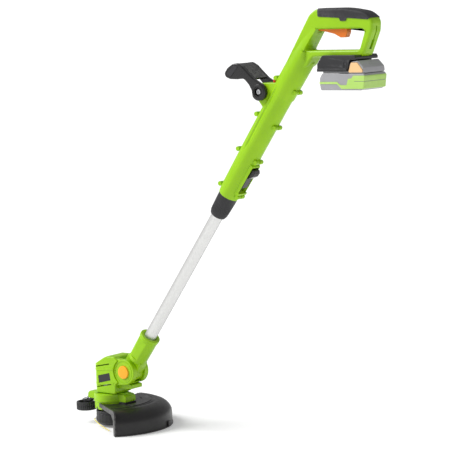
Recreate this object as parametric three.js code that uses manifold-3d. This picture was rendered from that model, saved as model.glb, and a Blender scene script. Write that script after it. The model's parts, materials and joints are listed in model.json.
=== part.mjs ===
// Battery string trimmer: a rear D-handle with a battery dock, a telescopic tube and a tilting motor head.
// Millimetres, +Z up, +X towards the operator, +Y to the operator's right.
// The origin is the rear hand grip's centre.
import * as THREE from 'three';
import { mergeVertices } from 'three/addons/utils/BufferGeometryUtils.js';
import Module from 'manifold-3d';

const wasm = await Module();
wasm.setup();

// ---- driving dimensions, in a working frame whose zero is the spool axis at the guard's lower rim ----
const gap = 0.3; // between pieces that touch
const shaftLean = THREE.MathUtils.degToRad(36.5); // tube from the spool axis
const tiltPivot = { x: 59, z: 122 };
const gripCentre = { x: 645, z: 848 };
const tube = { radius: 12.5, wall: 1.5, from: 42, to: 610 };
const collar = { from: 422, to: 473.7, radius: 20 };
const barrel = { from: 474, boreRadius: 14.6, boreTo: 822 };
const bossStations = [487, 573, 658, 745]; // screw bosses along the barrel
const bossRear = [24, 22.5, 22, 23.5]; // their offsets behind the tube's axis
const bossFront = [-25, -27.5, -29, -30];
const boss = { radius: 4.75, halfLength: 11.5 };
const windowCut = { from: 497, to: 560, halfWidth: 11 };
const frontPivot = { x: 445, z: 710 };
const releasePlace = { x: 464, y: 4 };
const frontHandle = { innerHalf: 17.8, outerHalf: 27.5, hubRadius: 17.5 };
const handleHalf = 17; // D-handle half width
const trigger = { x: 582, z: 838, half: 7 };
const battery = { x0: 601, x1: 703, half: 36, z0: 714, z1: 746, topHalf: 32, topZ: 765 };
const holder = { half: 37, x0: 598, topZ: 776.7 };
const head = { half: 27, earHalf: 24.5, earRadius: 27, tongueHalf: 12.5, tongueRadius: 22 };
const flange = { radius: 38, z0: 55, z1: 72 };
const guardSize = { radius: 127, flat: 101, topZ: 52, creaseZ: 33, wall: 3, nearEdge: 46.5, farEdge: 93 };
const spoolCap = { radius: 34, z0: 3, z1: 34 };
const wheel = { x: -73, radius: 22, z0: 27, z1: 45 };
const eyelet = { z: 16, turn: -48.5 }; // degrees from the left side towards the front
const lineRadius = 0.8;

// ---- finishes ----
function finish(color, roughness, metalness = 0) {
  return new THREE.MeshStandardMaterial({ color, roughness, metalness });
}

const lime = finish(0x8fce1a, 0.4);
const blackPlastic = finish(0x2b2b2c, 0.5);
const softGrip = finish(0x4a4b4d, 0.75);
const orange = finish(0xf08220, 0.45);
const aluminium = finish(0xcfd0cf, 0.3, 0.9);
const steel = finish(0xb4b6b8, 0.25, 1);
const red = finish(0xd0331c, 0.4);
const paleGrey = finish(0xa8a8aa, 0.5);
const paleGreen = finish(0xb8e07a, 0.5);
const paleOrange = finish(0xf5cfa0, 0.5);
const yellowLine = finish(0xe6d21e, 0.4);
const copper = finish(0xb98a4a, 0.3, 1);

// ---- solids ----
function solid(geometry, matrix) {
  const bare = new THREE.BufferGeometry();
  bare.setAttribute('position', geometry.getAttribute('position').clone());
  if (geometry.index) bare.setIndex(geometry.index.clone());
  if (matrix) bare.applyMatrix4(matrix);
  const merged = mergeVertices(bare, 1e-4);
  return new wasm.Manifold(new wasm.Mesh({
    numProp: 3,
    vertProperties: new Float32Array(merged.getAttribute('position').array),
    triVerts: new Uint32Array(merged.index.array),
  }));
}

function geometryOf(body) {
  const mesh = body.getMesh();
  const geometry = new THREE.BufferGeometry();
  geometry.setAttribute('position', new THREE.BufferAttribute(new Float32Array(mesh.vertProperties), 3));
  geometry.setIndex(new THREE.BufferAttribute(new Uint32Array(mesh.triVerts), 1));
  geometry.computeVertexNormals();
  return geometry;
}

// ---- shapes: each one ends as a solid in the working frame, or in the frame that its matrix gives ----
const shaftMatrix = new THREE.Matrix4()
  .makeTranslation(tiltPivot.x, 0, tiltPivot.z)
  .multiply(new THREE.Matrix4().makeRotationY(shaftLean)); // local Z up the tube, local X rearwards and down

function place(x, y, z) {
  return new THREE.Matrix4().makeTranslation(x, y, z);
}

function box(x0, x1, y0, y1, z0, z1, matrix) {
  const geometry = new THREE.BoxGeometry(x1 - x0, y1 - y0, z1 - z0);
  geometry.translate((x0 + x1) / 2, (y0 + y1) / 2, (z0 + z1) / 2);
  return solid(geometry, matrix);
}

// a cylinder standing on Z, from z0 to z1
function post(x, y, radius, z0, z1, sides = 18, matrix = undefined, topRadius = radius) {
  const geometry = new THREE.CylinderGeometry(topRadius, radius, z1 - z0, sides);
  geometry.rotateX(Math.PI / 2);
  geometry.translate(x, y, (z0 + z1) / 2);
  return solid(geometry, matrix);
}

// a cylinder lying along Y, from y0 to y1
function pin(x, z, radius, y0, y1, sides = 16, matrix = undefined) {
  const geometry = new THREE.CylinderGeometry(radius, radius, y1 - y0, sides);
  geometry.translate(x, (y0 + y1) / 2, z);
  return solid(geometry, matrix);
}

// a ring turned about Z from a closed outline of [radius, height] points
function turned(outline, sides = 20, matrix = undefined) {
  const points = [...outline, outline[0]].map(([r, z]) => new THREE.Vector2(r, z));
  const geometry = new THREE.LatheGeometry(points, sides);
  geometry.rotateX(Math.PI / 2);
  const body = solid(geometry, matrix);
  return body.volume() < 0 ? solid(flipped(geometry), matrix) : body;
}

function flipped(geometry) {
  const index = Array.from(geometry.index.array);
  for (let i = 0; i < index.length; i += 3) [index[i], index[i + 1]] = [index[i + 1], index[i]];
  const copy = geometry.clone();
  copy.setIndex(index);
  return copy;
}

// a side outline of [x, z] points, extruded along Y from y0 to y1, with rounded-off edges
function sidePlate(outline, y0, y1, bevel = 0, holes = [], matrix = undefined) {
  const shape = outlineShape(outline);
  for (const hole of holes) shape.holes.push(outlineShape(hole));
  const geometry = new THREE.ExtrudeGeometry(shape, {
    depth: y1 - y0 - 2 * bevel,
    steps: 1,
    curveSegments: 10,
    bevelEnabled: bevel > 0,
    bevelThickness: bevel,
    bevelSize: bevel,
    bevelOffset: -bevel,
    bevelSegments: bevel > 3 ? 2 : 1,
  });
  geometry.rotateX(Math.PI / 2);
  geometry.translate(0, y1 - bevel, 0);
  return solid(geometry, matrix);
}

// a plan outline of [x, y] points, extruded along Z from z0 to z1
function planPlate(outline, z0, z1, matrix = undefined) {
  const options = { depth: z1 - z0, bevelEnabled: false, steps: 1 };
  const geometry = new THREE.ExtrudeGeometry(outlineShape(outline), options);
  geometry.translate(0, 0, z0);
  return solid(geometry, matrix);
}

function outlineShape(points) {
  const corners = points.map(([u, v]) => new THREE.Vector2(u, v));
  return new THREE.Shape(THREE.ShapeUtils.isClockWise(corners) ? corners.reverse() : corners);
}

// the points of a circular arc, in degrees, ends included
function arc(cx, cy, radius, fromDegrees, toDegrees, steps = 8) {
  const points = [];
  for (let i = 0; i <= steps; i += 1) {
    const a = THREE.MathUtils.degToRad(fromDegrees + (toDegrees - fromDegrees) * i / steps);
    points.push([cx + radius * Math.cos(a), cy + radius * Math.sin(a)]);
  }
  return points;
}

// a polygon whose corners are rounded to the given radius
function rounded(points, radius, steps = 2) {
  const out = [];
  points.forEach((point, i) => {
    const corner = new THREE.Vector2(...point);
    const back = new THREE.Vector2(...points[(i + points.length - 1) % points.length]).sub(corner);
    const ahead = new THREE.Vector2(...points[(i + 1) % points.length]).sub(corner);
    const cosine = back.dot(ahead) / back.length() / ahead.length();
    const half = Math.acos(THREE.MathUtils.clamp(cosine, -1, 1)) / 2;
    const r = point[2] ?? radius;
    const reach = Math.min(r / Math.tan(half), back.length() * 0.45, ahead.length() * 0.45);
    const start = corner.clone().add(back.setLength(reach));
    const end = corner.clone().add(ahead.setLength(reach));
    const curve = new THREE.QuadraticBezierCurve(start, corner, end);
    for (const p of curve.getPoints(steps)) out.push([p.x, p.y]);
  });
  return out;
}

// a skin through oval sections [height, front, rear, halfWidth] about the tube's axis
function oval(sections, sides = 20, matrix = shaftMatrix) {
  const positions = [];
  const index = [];
  for (const [s, front, rear, half] of sections) {
    for (let i = 0; i < sides; i += 1) {
      const a = 2 * Math.PI * i / sides;
      const reach = Math.cos(a) > 0 ? rear : -front;
      positions.push(reach * Math.cos(a), half * Math.sin(a), s);
    }
  }
  const last = (sections.length - 1) * sides;
  for (let i = 0; i < sides; i += 1) {
    const j = (i + 1) % sides;
    for (let k = 0; k < last; k += sides) {
      index.push(k + i, k + j, k + sides + j, k + i, k + sides + j, k + sides + i);
    }
    if (i > 0 && i < sides - 1) {
      index.push(0, i + 1, i);
      index.push(last, last + i, last + i + 1);
    }
  }
  const geometry = new THREE.BufferGeometry();
  geometry.setAttribute('position', new THREE.Float32BufferAttribute(positions, 3));
  geometry.setIndex(index);
  return solid(geometry, matrix);
}

// a coil spring standing on Z
function spring(x, y, z0, z1, radius, wire, turns, matrix = undefined) {
  class Helix extends THREE.Curve {
    getPoint(t, target = new THREE.Vector3()) {
      const a = 2 * Math.PI * turns * t;
      return target.set(x + radius * Math.cos(a), y + radius * Math.sin(a), z0 + (z1 - z0) * t);
    }
  }
  const section = outlineShape(arc(0, 0, wire, 0, 270, 3));
  const options = { steps: Math.round(turns * 7), bevelEnabled: false, extrudePath: new Helix() };
  return solid(new THREE.ExtrudeGeometry(section, options), matrix);
}

// the space on each side of the housings' seam
const leftHalf = () => box(-400, 1100, -400, -gap / 2, -200, 1100);
const rightHalf = () => box(-400, 1100, gap / 2, 400, -200, 1100);

function union(bodies) {
  return bodies.reduce((sum, body) => sum.add(body));
}

// ---- the model's groups ----
const tool = new THREE.Group();
tool.position.set(-gripCentre.x, 0, -gripCentre.z);
const root = new THREE.Group();
root.add(tool);

function piece(name, body, material, group = tool) {
  const mesh = new THREE.Mesh(geometryOf(body), material);
  mesh.name = name;
  group.add(mesh);
}

const shaft = new THREE.Group(); // local Z runs up the tube from the tilt pivot
shaft.position.set(tiltPivot.x, 0, tiltPivot.z);
shaft.rotation.y = shaftLean;
tool.add(shaft);

// ---- housing: barrel and D-handle, in two shells ----
const handleOutline = rounded([
  [505, 764, 30], [566, 857, 20], [582, 867.5, 20], [650, 867.5, 60], [694, 860, 30], [713, 845, 16],
  [711, 824, 20], [690, 777, 12], [572, 777, 12], [556, 757, 20], [520, 748, 20],
], 6);
const holeOutline = rounded([[553, 789], [576, 829], [690, 829], [698, 822], [681, 789]], 7);
const gripSkinOutline = rounded([
  [572, 820], [572, 868.6, 14], [650, 868.6, 60], [694.6, 861.1, 30], [714.2, 846, 16], [712, 820],
], 12);
const gripOutline = rounded([
  [588, 853], [588, 872], [700, 872], [714, 853], [704, 846], [656, 849.5], [653, 844, 1.5], [641, 844, 1.5],
  [638, 850],
], 3);
const gripCoreOutline = rounded([
  [590.5, 830], [590.5, 865.8, 2], [650, 865.8, 60], [692.5, 858.5, 30], [706.5, 848, 8], [700, 830],
], 3);

function barrelSolid() {
  return union([
    oval([
      [barrel.from, -21.5, 21.5, 21.5], [492, -22.5, 22, 22.5], [600, -25.5, 21, 23], [700, -27, 20, 23.5],
      [760, -28, 21, 24], [815, -28.5, 22, 22], [838, -29, 0.5, 20], [880, -30.5, 0.5, 17],
    ]),
    rearPad(),
    frontBoss(),
    ...bossStations.flatMap((s, i) => [
      pin(bossRear[i], s, boss.radius, -boss.halfLength, boss.halfLength, 10, shaftMatrix),
      pin(bossFront[i], s - 3, boss.radius, -boss.halfLength, boss.halfLength, 10, shaftMatrix),
    ]),
    sidePlate([[17, 490], [26.5, 493], [26.5, 499], [17, 497]], -13, 13, 0, [], shaftMatrix),
  ]);
}

// raised shell round the rear half of the upper barrel, with a round lower end
function rearPad() {
  const skin = oval([[700, -28.2, 21.2, 24.7], [760, -29.2, 22.2, 25.2], [815, -29.7, 23.2, 23.2], [836, -30, 4, 21]]);
  const outline = rounded([[-3, 840], [-3, 722, 16], [30, 722, 4], [30, 840]], 4, 4);
  return skin.intersect(sidePlate(outline, -40, 40, 0, [], shaftMatrix));
}

function frontBoss() {
  const { x, z } = frontPivot;
  const outline = [...arc(x, z, 17, 90, 205, 6), [x + 3, z - 32], [x + 22, z - 22], [x + 38, z + 17]];
  return sidePlate(outline, -17.5, 17.5);
}

const handlePlate = sidePlate(handleOutline, -handleHalf, handleHalf, 5, [holeOutline]);
const gripSkin = sidePlate(gripSkinOutline, -handleHalf - 1.2, handleHalf + 1.2, 4);
const gripCore = (half) => sidePlate(gripCoreOutline, -half, half);

function gripOvermould() {
  return gripSkin.intersect(sidePlate(gripOutline, -25, 25)).subtract(gripCore(handleHalf - 2));
}

function housingSolid() {
  const gripRecess = sidePlate(gripOutline, -25, 25).subtract(gripCore(handleHalf - 2 - gap));
  const outer = union([barrelSolid(), handlePlate]).subtract(gripRecess);
  const cuts = [
    post(0, 0, barrel.boreRadius, barrel.from - 5, barrel.boreTo, 18, shaftMatrix),
    box(10, 40, -windowCut.halfWidth, windowCut.halfWidth, windowCut.from, windowCut.to, shaftMatrix),
    box(577, 652, -7.5, 7.5, 800, 848), // trigger slot
    box(653, 688, -9.5, 9.5, 834.5, 856), // switch bay
    box(640, 660, -9.5, 9.5, 834.5, 852), // way between the trigger and the switch
    post(releasePlace.x, releasePlace.y, 3.8, 719, 740, 16),
    pin(trigger.x, trigger.z, 2.3, -10, 10, 14),
    pin(frontPivot.x, frontPivot.z, 4.4, -30, 30, 18),
    sidePlate([[699, 806], [694, 791], [705, 791], [712, 806]], -3, 3),
  ];
  return cuts.reduce((sum, cut) => sum.subtract(cut), outer);
}

function housing() {
  let shell = housingSolid();
  bossStations.forEach((s, i) => {
    shell = shell.subtract(pin(bossRear[i], s, 2, -8.5, 8.5, 8, shaftMatrix));
  });
  piece('handle_shell_left', shell.intersect(leftHalf()), lime);
  piece('handle_shell_right', shell.intersect(rightHalf()), lime);
  piece('grip_overmould', gripOvermould(), softGrip);
  bossStations.forEach((s, i) => {
    piece(`shell_screw_${i + 1}`, pin(bossRear[i], s, 1.6, -8.1, 8.1, 8, shaftMatrix), steel);
  });
}

// ---- trigger and switch ----
function triggerGroup() {
  const body = sidePlate(rounded([
    [578.6, 841], [578.6, 827], [600, 823.5], [618, 819.5], [632, 812.5], [644, 812.5], [648.5, 822], [648, 838],
    [640, 838], [590, 842],
  ], 2.5, 2), -trigger.half, trigger.half);
  piece('trigger', body.subtract(pin(trigger.x, trigger.z, 2.3, -9, 9, 14)), orange);
  piece('trigger_pin', pin(trigger.x, trigger.z, 2, -9.6, 9.6, 14), steel);
  piece('trigger_spring', spring(632, 0, 839.2, 847.2, 3, 0.5, 3), steel);
  piece('switch_body', box(656, 687.6, -9, 9, 835, 855.5), blackPlastic);
}

// ---- battery dock under the lower bar ----
function dock() {
  const { half, x0, topZ } = holder;
  const sides = [[x0 - 1, 749.5], [x0 - 1, 764], [x0 + 8, 776], [x0 + 12, 780], [684, 780], [687, 776],
    [687, 771.3], [673, 771.3], [666, 749.5]];
  const body = union([
    sidePlate(rounded(sides, 1.5, 2), -half, half),
    box(x0 - 1, 666, -half - 1.2, half + 1.2, 749.5, 755), // ledge along the lower edge
  ]);
  const channel = [
    box(x0 + 4, 800, -32.6, 32.6, 700, 765.6),
    box(x0 - 20, 720, -17.6, 17.6, topZ, 800),
    box(x0 - 20, 620, -25, 25, 776.7, 800),
  ];
  const rails = [[31, 33], [-33, -31]].map(([near, far]) => box(606, 664, near, far, 752.4, 756));
  const hollowed = channel.reduce((sum, cut) => sum.subtract(cut), body);
  piece('battery_holder', hollowed.add(union(rails)), blackPlastic);
  const blades = [-7, 0, 7].map((y) => box(620, 634, y - 0.6, y + 0.6, 758, 763));
  piece('terminal_block', union([box(604.4, 622, -12, 12, 756.6, 765.3), ...blades]), blackPlastic);
}

// ---- battery pack ----
function batteryPack() {
  const { x0, x1, half, z0, z1, topHalf, topZ } = battery;
  const slab = sidePlate(slabOutline(0), -half, half, 2);
  const hollow = box(x0 + 4, x1 - 3, -half + 3, half - 3, z0 + 3, z1 + 5);
  piece('battery_case_lower', slab.subtract(hollow), paleGrey);
  const cells = [0, 1, 2, 3, 4].map((i) => pin(x0 + 14.6 + i * 18.2, z0 + 14, 9.15, -32.5, 32.5, 12));
  piece('battery_cells', union([...cells, box(x0 + 10, x0 + 92, -6, 6, z0 + 20, z0 + 25)]), copper);
  const shoulder = [[667, z1 + 0.15], [674.5, 768], [690, 770], [703, 757], [704, z1 + 0.15]];
  const tower = union([
    box(x0 + 6, 672, -topHalf, topHalf, z1 + 0.15, topZ),
    sidePlate(rounded(shoulder, 3, 2), -35.4, 35.4, 2),
  ]);
  const pockets = [
    box(500, 642, -13, 13, 755.8, 790),
    ...[-1, 1].map((side) => box(600, 672, side > 0 ? 30.6 : -40, side > 0 ? 40 : -30.6, 751.8, 756.8)),
    ...[-1, 1].map((side) => sidePlate(latchOutline(1.2), side > 0 ? 29 : -40, side > 0 ? 40 : -29)),
    box(612, 660, -27, 27, z1 - 5, 753),
  ];
  piece('battery_case_upper', pockets.reduce((sum, cut) => sum.subtract(cut), tower), paleGrey);
  for (const [name, side] of [['battery_latch_left', -1], ['battery_latch_right', 1]]) {
    const button = sidePlate(rounded(latchOutline(0.4), 2, 2), -2.4, 2.4, 0.8).translate([0, side * 34.2, 0]);
    piece(name, button, paleOrange);
  }
  const skin = sidePlate(slabOutline(1), -half - 1, half + 1, 2);
  const band = sidePlate([
    [x0 - 2, z0 + 12], [x0 - 2, z0 + 16], [642, z0 + 16], [650, z0 + 10], [664, z0 + 10], [668, z0 + 22],
    [676, z1 - 9], [680, z1 - 4], [710, z1 - 4], [710, z0 + 3], [652, z0 + 3], [642, z0 + 12],
  ], -40, 40);
  const inner = sidePlate(slabOutline(gap), -half - gap, half + gap, 2);
  const trim = skin.intersect(band).subtract(inner);
  piece('battery_trim', trim.subtract(box(590, 640, -34, 34, 700, 760)), paleGreen);
}

function slabOutline(grow) {
  const { x0, x1, z0, z1 } = battery;
  const top = z1 - 0.15 + 0.3 * grow;
  return rounded([
    [x0 + 2 - grow, z0 - grow], [x0 - grow, z0 + 10], [x0 - grow, z1 - 9], [x0 + 6, top],
    [x1 + 1 + grow, top], [x1 + 3 + grow, z1 - 6], [x1 + grow, z0 + 4 - grow], [x1 - 8, z0 - grow],
  ], 3);
}

function latchOutline(grow) {
  return [[669 - grow, 747.5], [675, 766 + grow], [690, 766 + grow], [701 + grow, 752], [700 + grow, 747.5]];
}

// ---- lock slider in the barrel's window ----
function lockSlider() {
  const { from, to } = windowCut;
  piece('latch_plate', box(15, 16.8, -10.4, 10.4, from + 0.5, to - 0.5, shaftMatrix), steel);
  const outline = [[17.2, 533], [17.2, 557], [30, 557.5], [33.5, 553], [33, 545], [26, 534]];
  piece('lock_slider', sidePlate(rounded(outline, 2, 2), -9, 9, 1.2, [], shaftMatrix), blackPlastic);
}

// ---- front handle: a fork on a cross pivot, with a grip across its end ----
function forkOutline() {
  const { x, z } = frontPivot;
  const { hubRadius } = frontHandle;
  const beak = [[-16, 2], [-23, 14], [-35, 26], [-52, 24.5], [-69, 25], [-80, 29], [-83, 37], [-75, 47], [-62, 55],
    [-50, 56.5], [-38, 50], [-26, 39], [-11, 26]];
  return [...arc(x, z, hubRadius, 70, -150, 11), ...beak.map(([u, v]) => [x + u, z + v])];
}

function forkHandle() {
  const { x, z } = frontPivot;
  const { innerHalf, outerHalf } = frontHandle;
  const arms = [-1, 1].map((side) => {
    const [near, far] = side > 0 ? [innerHalf, outerHalf] : [-outerHalf, -innerHalf];
    return sidePlate(forkOutline(), near, far, 1.5)
      .subtract(pin(x, z, 8.6, side > 0 ? 23 : -40, side > 0 ? 40 : -23, 6))
      .subtract(sidePlate(padOutline(0.5), side > 0 ? 26.6 : -40, side > 0 ? 40 : -26.6));
  });
  const barOutline = [[-35, 26], [-52, 24.5], [-69, 25], [-80, 29], [-83, 37], [-75, 47], [-62, 55], [-50, 56.5],
    [-38, 50], [-32, 38]].map(([u, v]) => [x + u * 0.97 - 1.6, z + v * 0.97 + 1.2]);
  const gripBar = sidePlate(rounded(barOutline, 3, 2), -20, 20);
  const hollow = sidePlate([[-44, 20], [-44, 36], [-66, 36], [-66, 20]].map(([u, v]) => [x + u, z + v]), -17, 17);
  const body = union([...arms, gripBar]).subtract(hollow).subtract(pin(x, z, 4.4, -30, 30, 18));
  piece('front_handle', body, blackPlastic);
  for (const [name, side] of [['front_pad_left', -1], ['front_pad_right', 1]]) {
    const pad = sidePlate(rounded(padOutline(0), 2, 2), -0.8, 0.8, 0.4).translate([0, side * 27.7, 0]);
    piece(name, pad, softGrip);
  }
  const bolt = pin(x, z, 4, -23.5, 23.2, 18).add(pin(x, z, 6.6, -26.4, -23.3, 6));
  piece('pivot_bolt', bolt, steel);
  piece('pivot_nut', pin(x, z, 6.6, 23.5, 26.6, 6), steel);
  piece('handle_release', post(releasePlace.x, releasePlace.y, 3.4, 721.5, 733, 16), red);
}

function padOutline(grow) {
  const { x, z } = frontPivot;
  const corners = [[-77 - grow, 36], [-59, 52 + grow], [-47 + grow, 50 + grow], [-67, 29 - grow]];
  return corners.map(([u, v]) => [x + u, z + v]);
}

// ---- tube, collar and bush, standing on the tube's own axis ----
function tubeGroup() {
  const bore = tube.radius - tube.wall;
  const { radius, from, to } = tube;
  const pipe = turned([[bore, from], [radius, from], [radius, to], [bore, to]], 24);
  piece('shaft_tube', pipe.subtract(box(11.9, 14, -1.2, 1.2, 97, 620)), aluminium, shaft);
  const nut = turned([
    [12.9, collar.from + 0.4], [15.6, collar.from], [18.4, 429], [19.4, 448], [collar.radius, 462],
    [collar.radius, collar.to], [15.5, collar.to], [15.5, 440], [12.9, 436],
  ], 24);
  piece('twist_collar', nut, blackPlastic, shaft);
  const sleeve = turned([[12.8, 440.4], [15.1, 440.4], [15.1, 473], [12.8, 473]], 18);
  piece('collet', sleeve.subtract(box(10, 20, -0.8, 0.8, 430, 466)), blackPlastic, shaft);
  piece('guide_bush', turned([[12.8, 479], [14.3, 479], [14.3, 496], [12.8, 496]], 18), blackPlastic, shaft);
}

// ---- knuckle: tongue between the head's ears, and the socket that clamps the tube ----
function knuckle() {
  const { tongueHalf, tongueRadius } = head;
  const outer = union([
    pin(0, 0, tongueRadius, -tongueHalf, tongueHalf, 22),
    box(-19.5, 19.5, -tongueHalf, tongueHalf, 0, 33),
    post(0, 0, 19.4, 30, 90, 22, undefined, 20.4),
    post(0, 0, 21.6, 90, 97, 22),
  ]);
  const cuts = [
    post(0, 0, tube.radius + gap, tube.from - 0.3, 120, 22),
    pin(0, 0, 4.3, -30, 30, 16),
    pin(-16, 50, 1.9, -8, 8, 8),
    pin(-16, 82, 1.9, -8, 8, 8),
    box(-9, 9, -30, -18.4, 46, 82), // flat recessed panel on the left side
  ];
  const body = cuts.reduce((sum, cut) => sum.subtract(cut), outer);
  piece('knuckle_left', body.intersect(leftHalf()), lime, shaft);
  piece('knuckle_right', body.intersect(rightHalf()), lime, shaft);
  piece('knuckle_screw_lower', pin(-16, 50, 1.5, -7.7, 7.7, 8), steel, shaft);
  piece('knuckle_screw_upper', pin(-16, 82, 1.5, -7.7, 7.7, 8), steel, shaft);
}

// ---- motor head ----
function motorHead() {
  const { half, earHalf, earRadius, tongueHalf, tongueRadius } = head;
  const { x, z } = tiltPivot;
  const plan = rounded([[48, -half], [-16, -half], [-26, -18], [-31, 0], [-26, 18], [-16, half], [48, half]], 6, 3);
  const side = rounded([[-36, 73], [-36, 127], [-20, 135], [4, 149], [14, 153], [34, 153], [44, 146], [44, 100],
    [36, 92], [36, 73]], 4, 2);
  const block = sidePlate(side, -40, 40).intersect(planPlate(plan, 60, 180));
  const body = union([
    block.subtract(pin(x, z, earRadius + 0.6, -40, -earHalf, 28)).subtract(pin(x, z, earRadius + 0.6, earHalf, 40, 28)),
    pin(x, z, earRadius, -earHalf, earHalf, 28),
    sidePlate([[30, 92], [30, 150], [52, 148], [60, 95]], -earHalf, earHalf),
    sidePlate(rounded([[30, 84], [30, 93], [60, 96], [73, 94], [73, 86]], 1.5, 2), -16.5, 16.5), // rear shelf
  ]);
  const swingOutline = [[x, z], [41, 136], [34, 165], [120, 165], [120, 96], [66, 101]]; // room for the tube's tilt
  const cuts = [
    post(0, 0, 20.5, 72, 129, 20), // motor bay
    pin(x, z, tongueRadius + 1.2, -tongueHalf - gap, tongueHalf + gap, 24),
    sidePlate(swingOutline, -tongueHalf - gap, tongueHalf + gap),
    pin(x, z, 14.2, -40, -tongueHalf, 22), // tilt button's hole
    pin(x, z, 4.3, 0, 20.4, 16),
    labelRecess(0.4),
    ...ventSlots(),
  ];
  const shell = cuts.reduce((sum, cut) => sum.subtract(cut), body);
  piece('motor_housing_left', shell.intersect(leftHalf()), lime);
  piece('motor_housing_right', shell.intersect(rightHalf()), lime);
  piece('side_label', sidePlate(labelOutline(0), -half + 0.1, -half + 0.7), blackPlastic);
  const button = pin(x, z, 13.8, -earHalf - 3, -16.2, 22);
  piece('tilt_button', button.subtract(pin(x, z, 4.4, -21.5, -10, 16)), orange);
  piece('tilt_pin', pin(x, z, 4, -18, 20, 16), steel);
  const springTurn = new THREE.Matrix4().makeTranslation(x, -15.6, z)
    .multiply(new THREE.Matrix4().makeRotationX(-Math.PI / 2));
  piece('tilt_spring', spring(0, 0, 0.3, 2.4, 9, 0.5, 1.6, springTurn), steel);
  piece('motor_can', post(0, 0, 19.5, 84, 128, 20), steel);
}

function labelOutline(grow) {
  return [[-11 - grow, 110 + grow], [20 + grow, 117.5 + grow], [23 + grow, 102.5 - grow], [-10 - grow, 94.5 - grow]];
}

const labelRecess = (grow) => sidePlate(labelOutline(grow), -head.half - 5, -head.half + 1);

// slanted air slots through both sides, above and below the label
function ventSlots() {
  const slots = [];
  for (const [x0, z0, length] of [[-20, 127.5, 41], [-16, 84.5, 40]]) {
    const rise = 0.2 * length;
    const outline = [[x0, z0], [x0 + length, z0 + rise], [x0 + length, z0 + rise + 2], [x0, z0 + 2]];
    slots.push(sidePlate(outline, -40, -16));
    slots.push(sidePlate(outline, 16, 40));
  }
  return slots;
}

function headBase() {
  const { radius, z0, z1 } = flange;
  const body = union([
    post(0, 0, radius, z0, z1, 28),
    sidePlate(rounded([[20, z0], [20, z1], [50, z1 - 2], [53, z1 - 6], [53, z0]], 2, 2), -16, 16),
    sidePlate(rounded([[-20, z0], [-20, z1], [-57, z1 - 3], [-60, z1 - 7], [-60, z0]], 2, 2), -9, 9),
    post(0, 0, 36, 40, z0 + 1, 28),
  ]);
  const teeth = [];
  for (let i = 0; i < 12; i += 1) {
    const turn = new THREE.Matrix4().makeRotationZ(Math.PI * i / 6 + 0.2);
    teeth.push(box(31, 40, -3.5, 3.5, 38, 44, turn));
  }
  const cuts = [
    turned([[0, 35], [32.5, 35], [32.5, 54], [0, 54]], 28),
    post(0, 0, 12, 50, 80, 24),
    post(45, 0, 1.9, 50, 66, 10),
    post(-50, 0, 3.2, 50, 66, 12),
    ...teeth,
  ];
  piece('head_base', cuts.reduce((sum, cut) => sum.subtract(cut), body), lime);
}

// ---- cutting head ----
function spoolGroup() {
  const { radius, z0, z1 } = spoolCap;
  piece('motor_shaft', union([post(0, 0, 2.5, 32, 83.7, 16), post(0, 0, 9, 40.5, 50, 20)]), steel);
  const reel = turned([[3, 12], [26, 12], [26, 14], [12, 14], [12, 27], [26, 27], [26, 29], [3, 29]], 18);
  piece('spool', reel, blackPlastic);
  piece('wound_line', turned([[12.4, 14.4], [24, 14.4], [24, 26.6], [12.4, 26.6]], 18), yellowLine);
  piece('spool_spring', spring(0, 0, 29.8, 39.4, 6, 0.6, 3), steel);
  const cup = turned([
    [0, z0], [20, z0], [29, z0 + 2], [radius, z0 + 8], [radius, z1], [radius - 3, z1], [radius - 3, z0 + 9],
    [27.5, z0 + 5.5], [0, z0 + 5.5],
  ], 24);
  const eyeHole = eyeFrame(pin(0, 0, 3.3, -40, 40, 14));
  piece('spool_cap', cup.subtract(eyeHole), blackPlastic);
  const ring = (side) => {
    const [near, rim, face] = [30.5, 34.5, 35.6].map((reach) => side * reach);
    const sleeve = pin(0, 0, 3, Math.min(near, face), Math.max(near, face), 12);
    const lip = pin(0, 0, 4, Math.min(rim, face), Math.max(rim, face), 12);
    return eyeFrame(sleeve.add(lip).subtract(pin(0, 0, 1.5, -50, 50, 10)));
  };
  piece('eyelet_left', ring(-1), steel);
  piece('eyelet_right', ring(1), steel);
}

// lays a shape along Y onto the eyelets' own axis, which passes through the spool
function eyeFrame(body) {
  return body.rotate([0, 0, eyelet.turn]).translate([0, 0, eyelet.z]);
}

// the free line: out of the left eyelet, round the front and down
const linePoints = [
  [-27.1, -24, 16], [-27.7, -25.6, 15.7], [-26.9, -27.6, 15], [-24.6, -29.6, 14.2], [-21.4, -31.6, 13.2],
  [-17.4, -33.6, 12.2], [-12.8, -35.8, 11.1], [-7.6, -38.2, 10], [-2, -40.8, 8.9], [4, -43.4, 7.8],
  [10.2, -46, 6.7], [16.6, -48.6, 5.6], [23, -51, 4.7], [29.4, -53.4, 3.9], [35.6, -55.6, 3.2], [41.3, -57.6, 2.6],
];

function trimmerLine() {
  const route = new THREE.CatmullRomCurve3(linePoints.map((p) => new THREE.Vector3(...p)));
  const section = outlineShape(arc(0, 0, lineRadius, 0, 315, 7));
  const options = { steps: 26, bevelEnabled: false, extrudePath: route };
  piece('trimmer_line', solid(new THREE.ExtrudeGeometry(section, options)), yellowLine);
}

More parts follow.
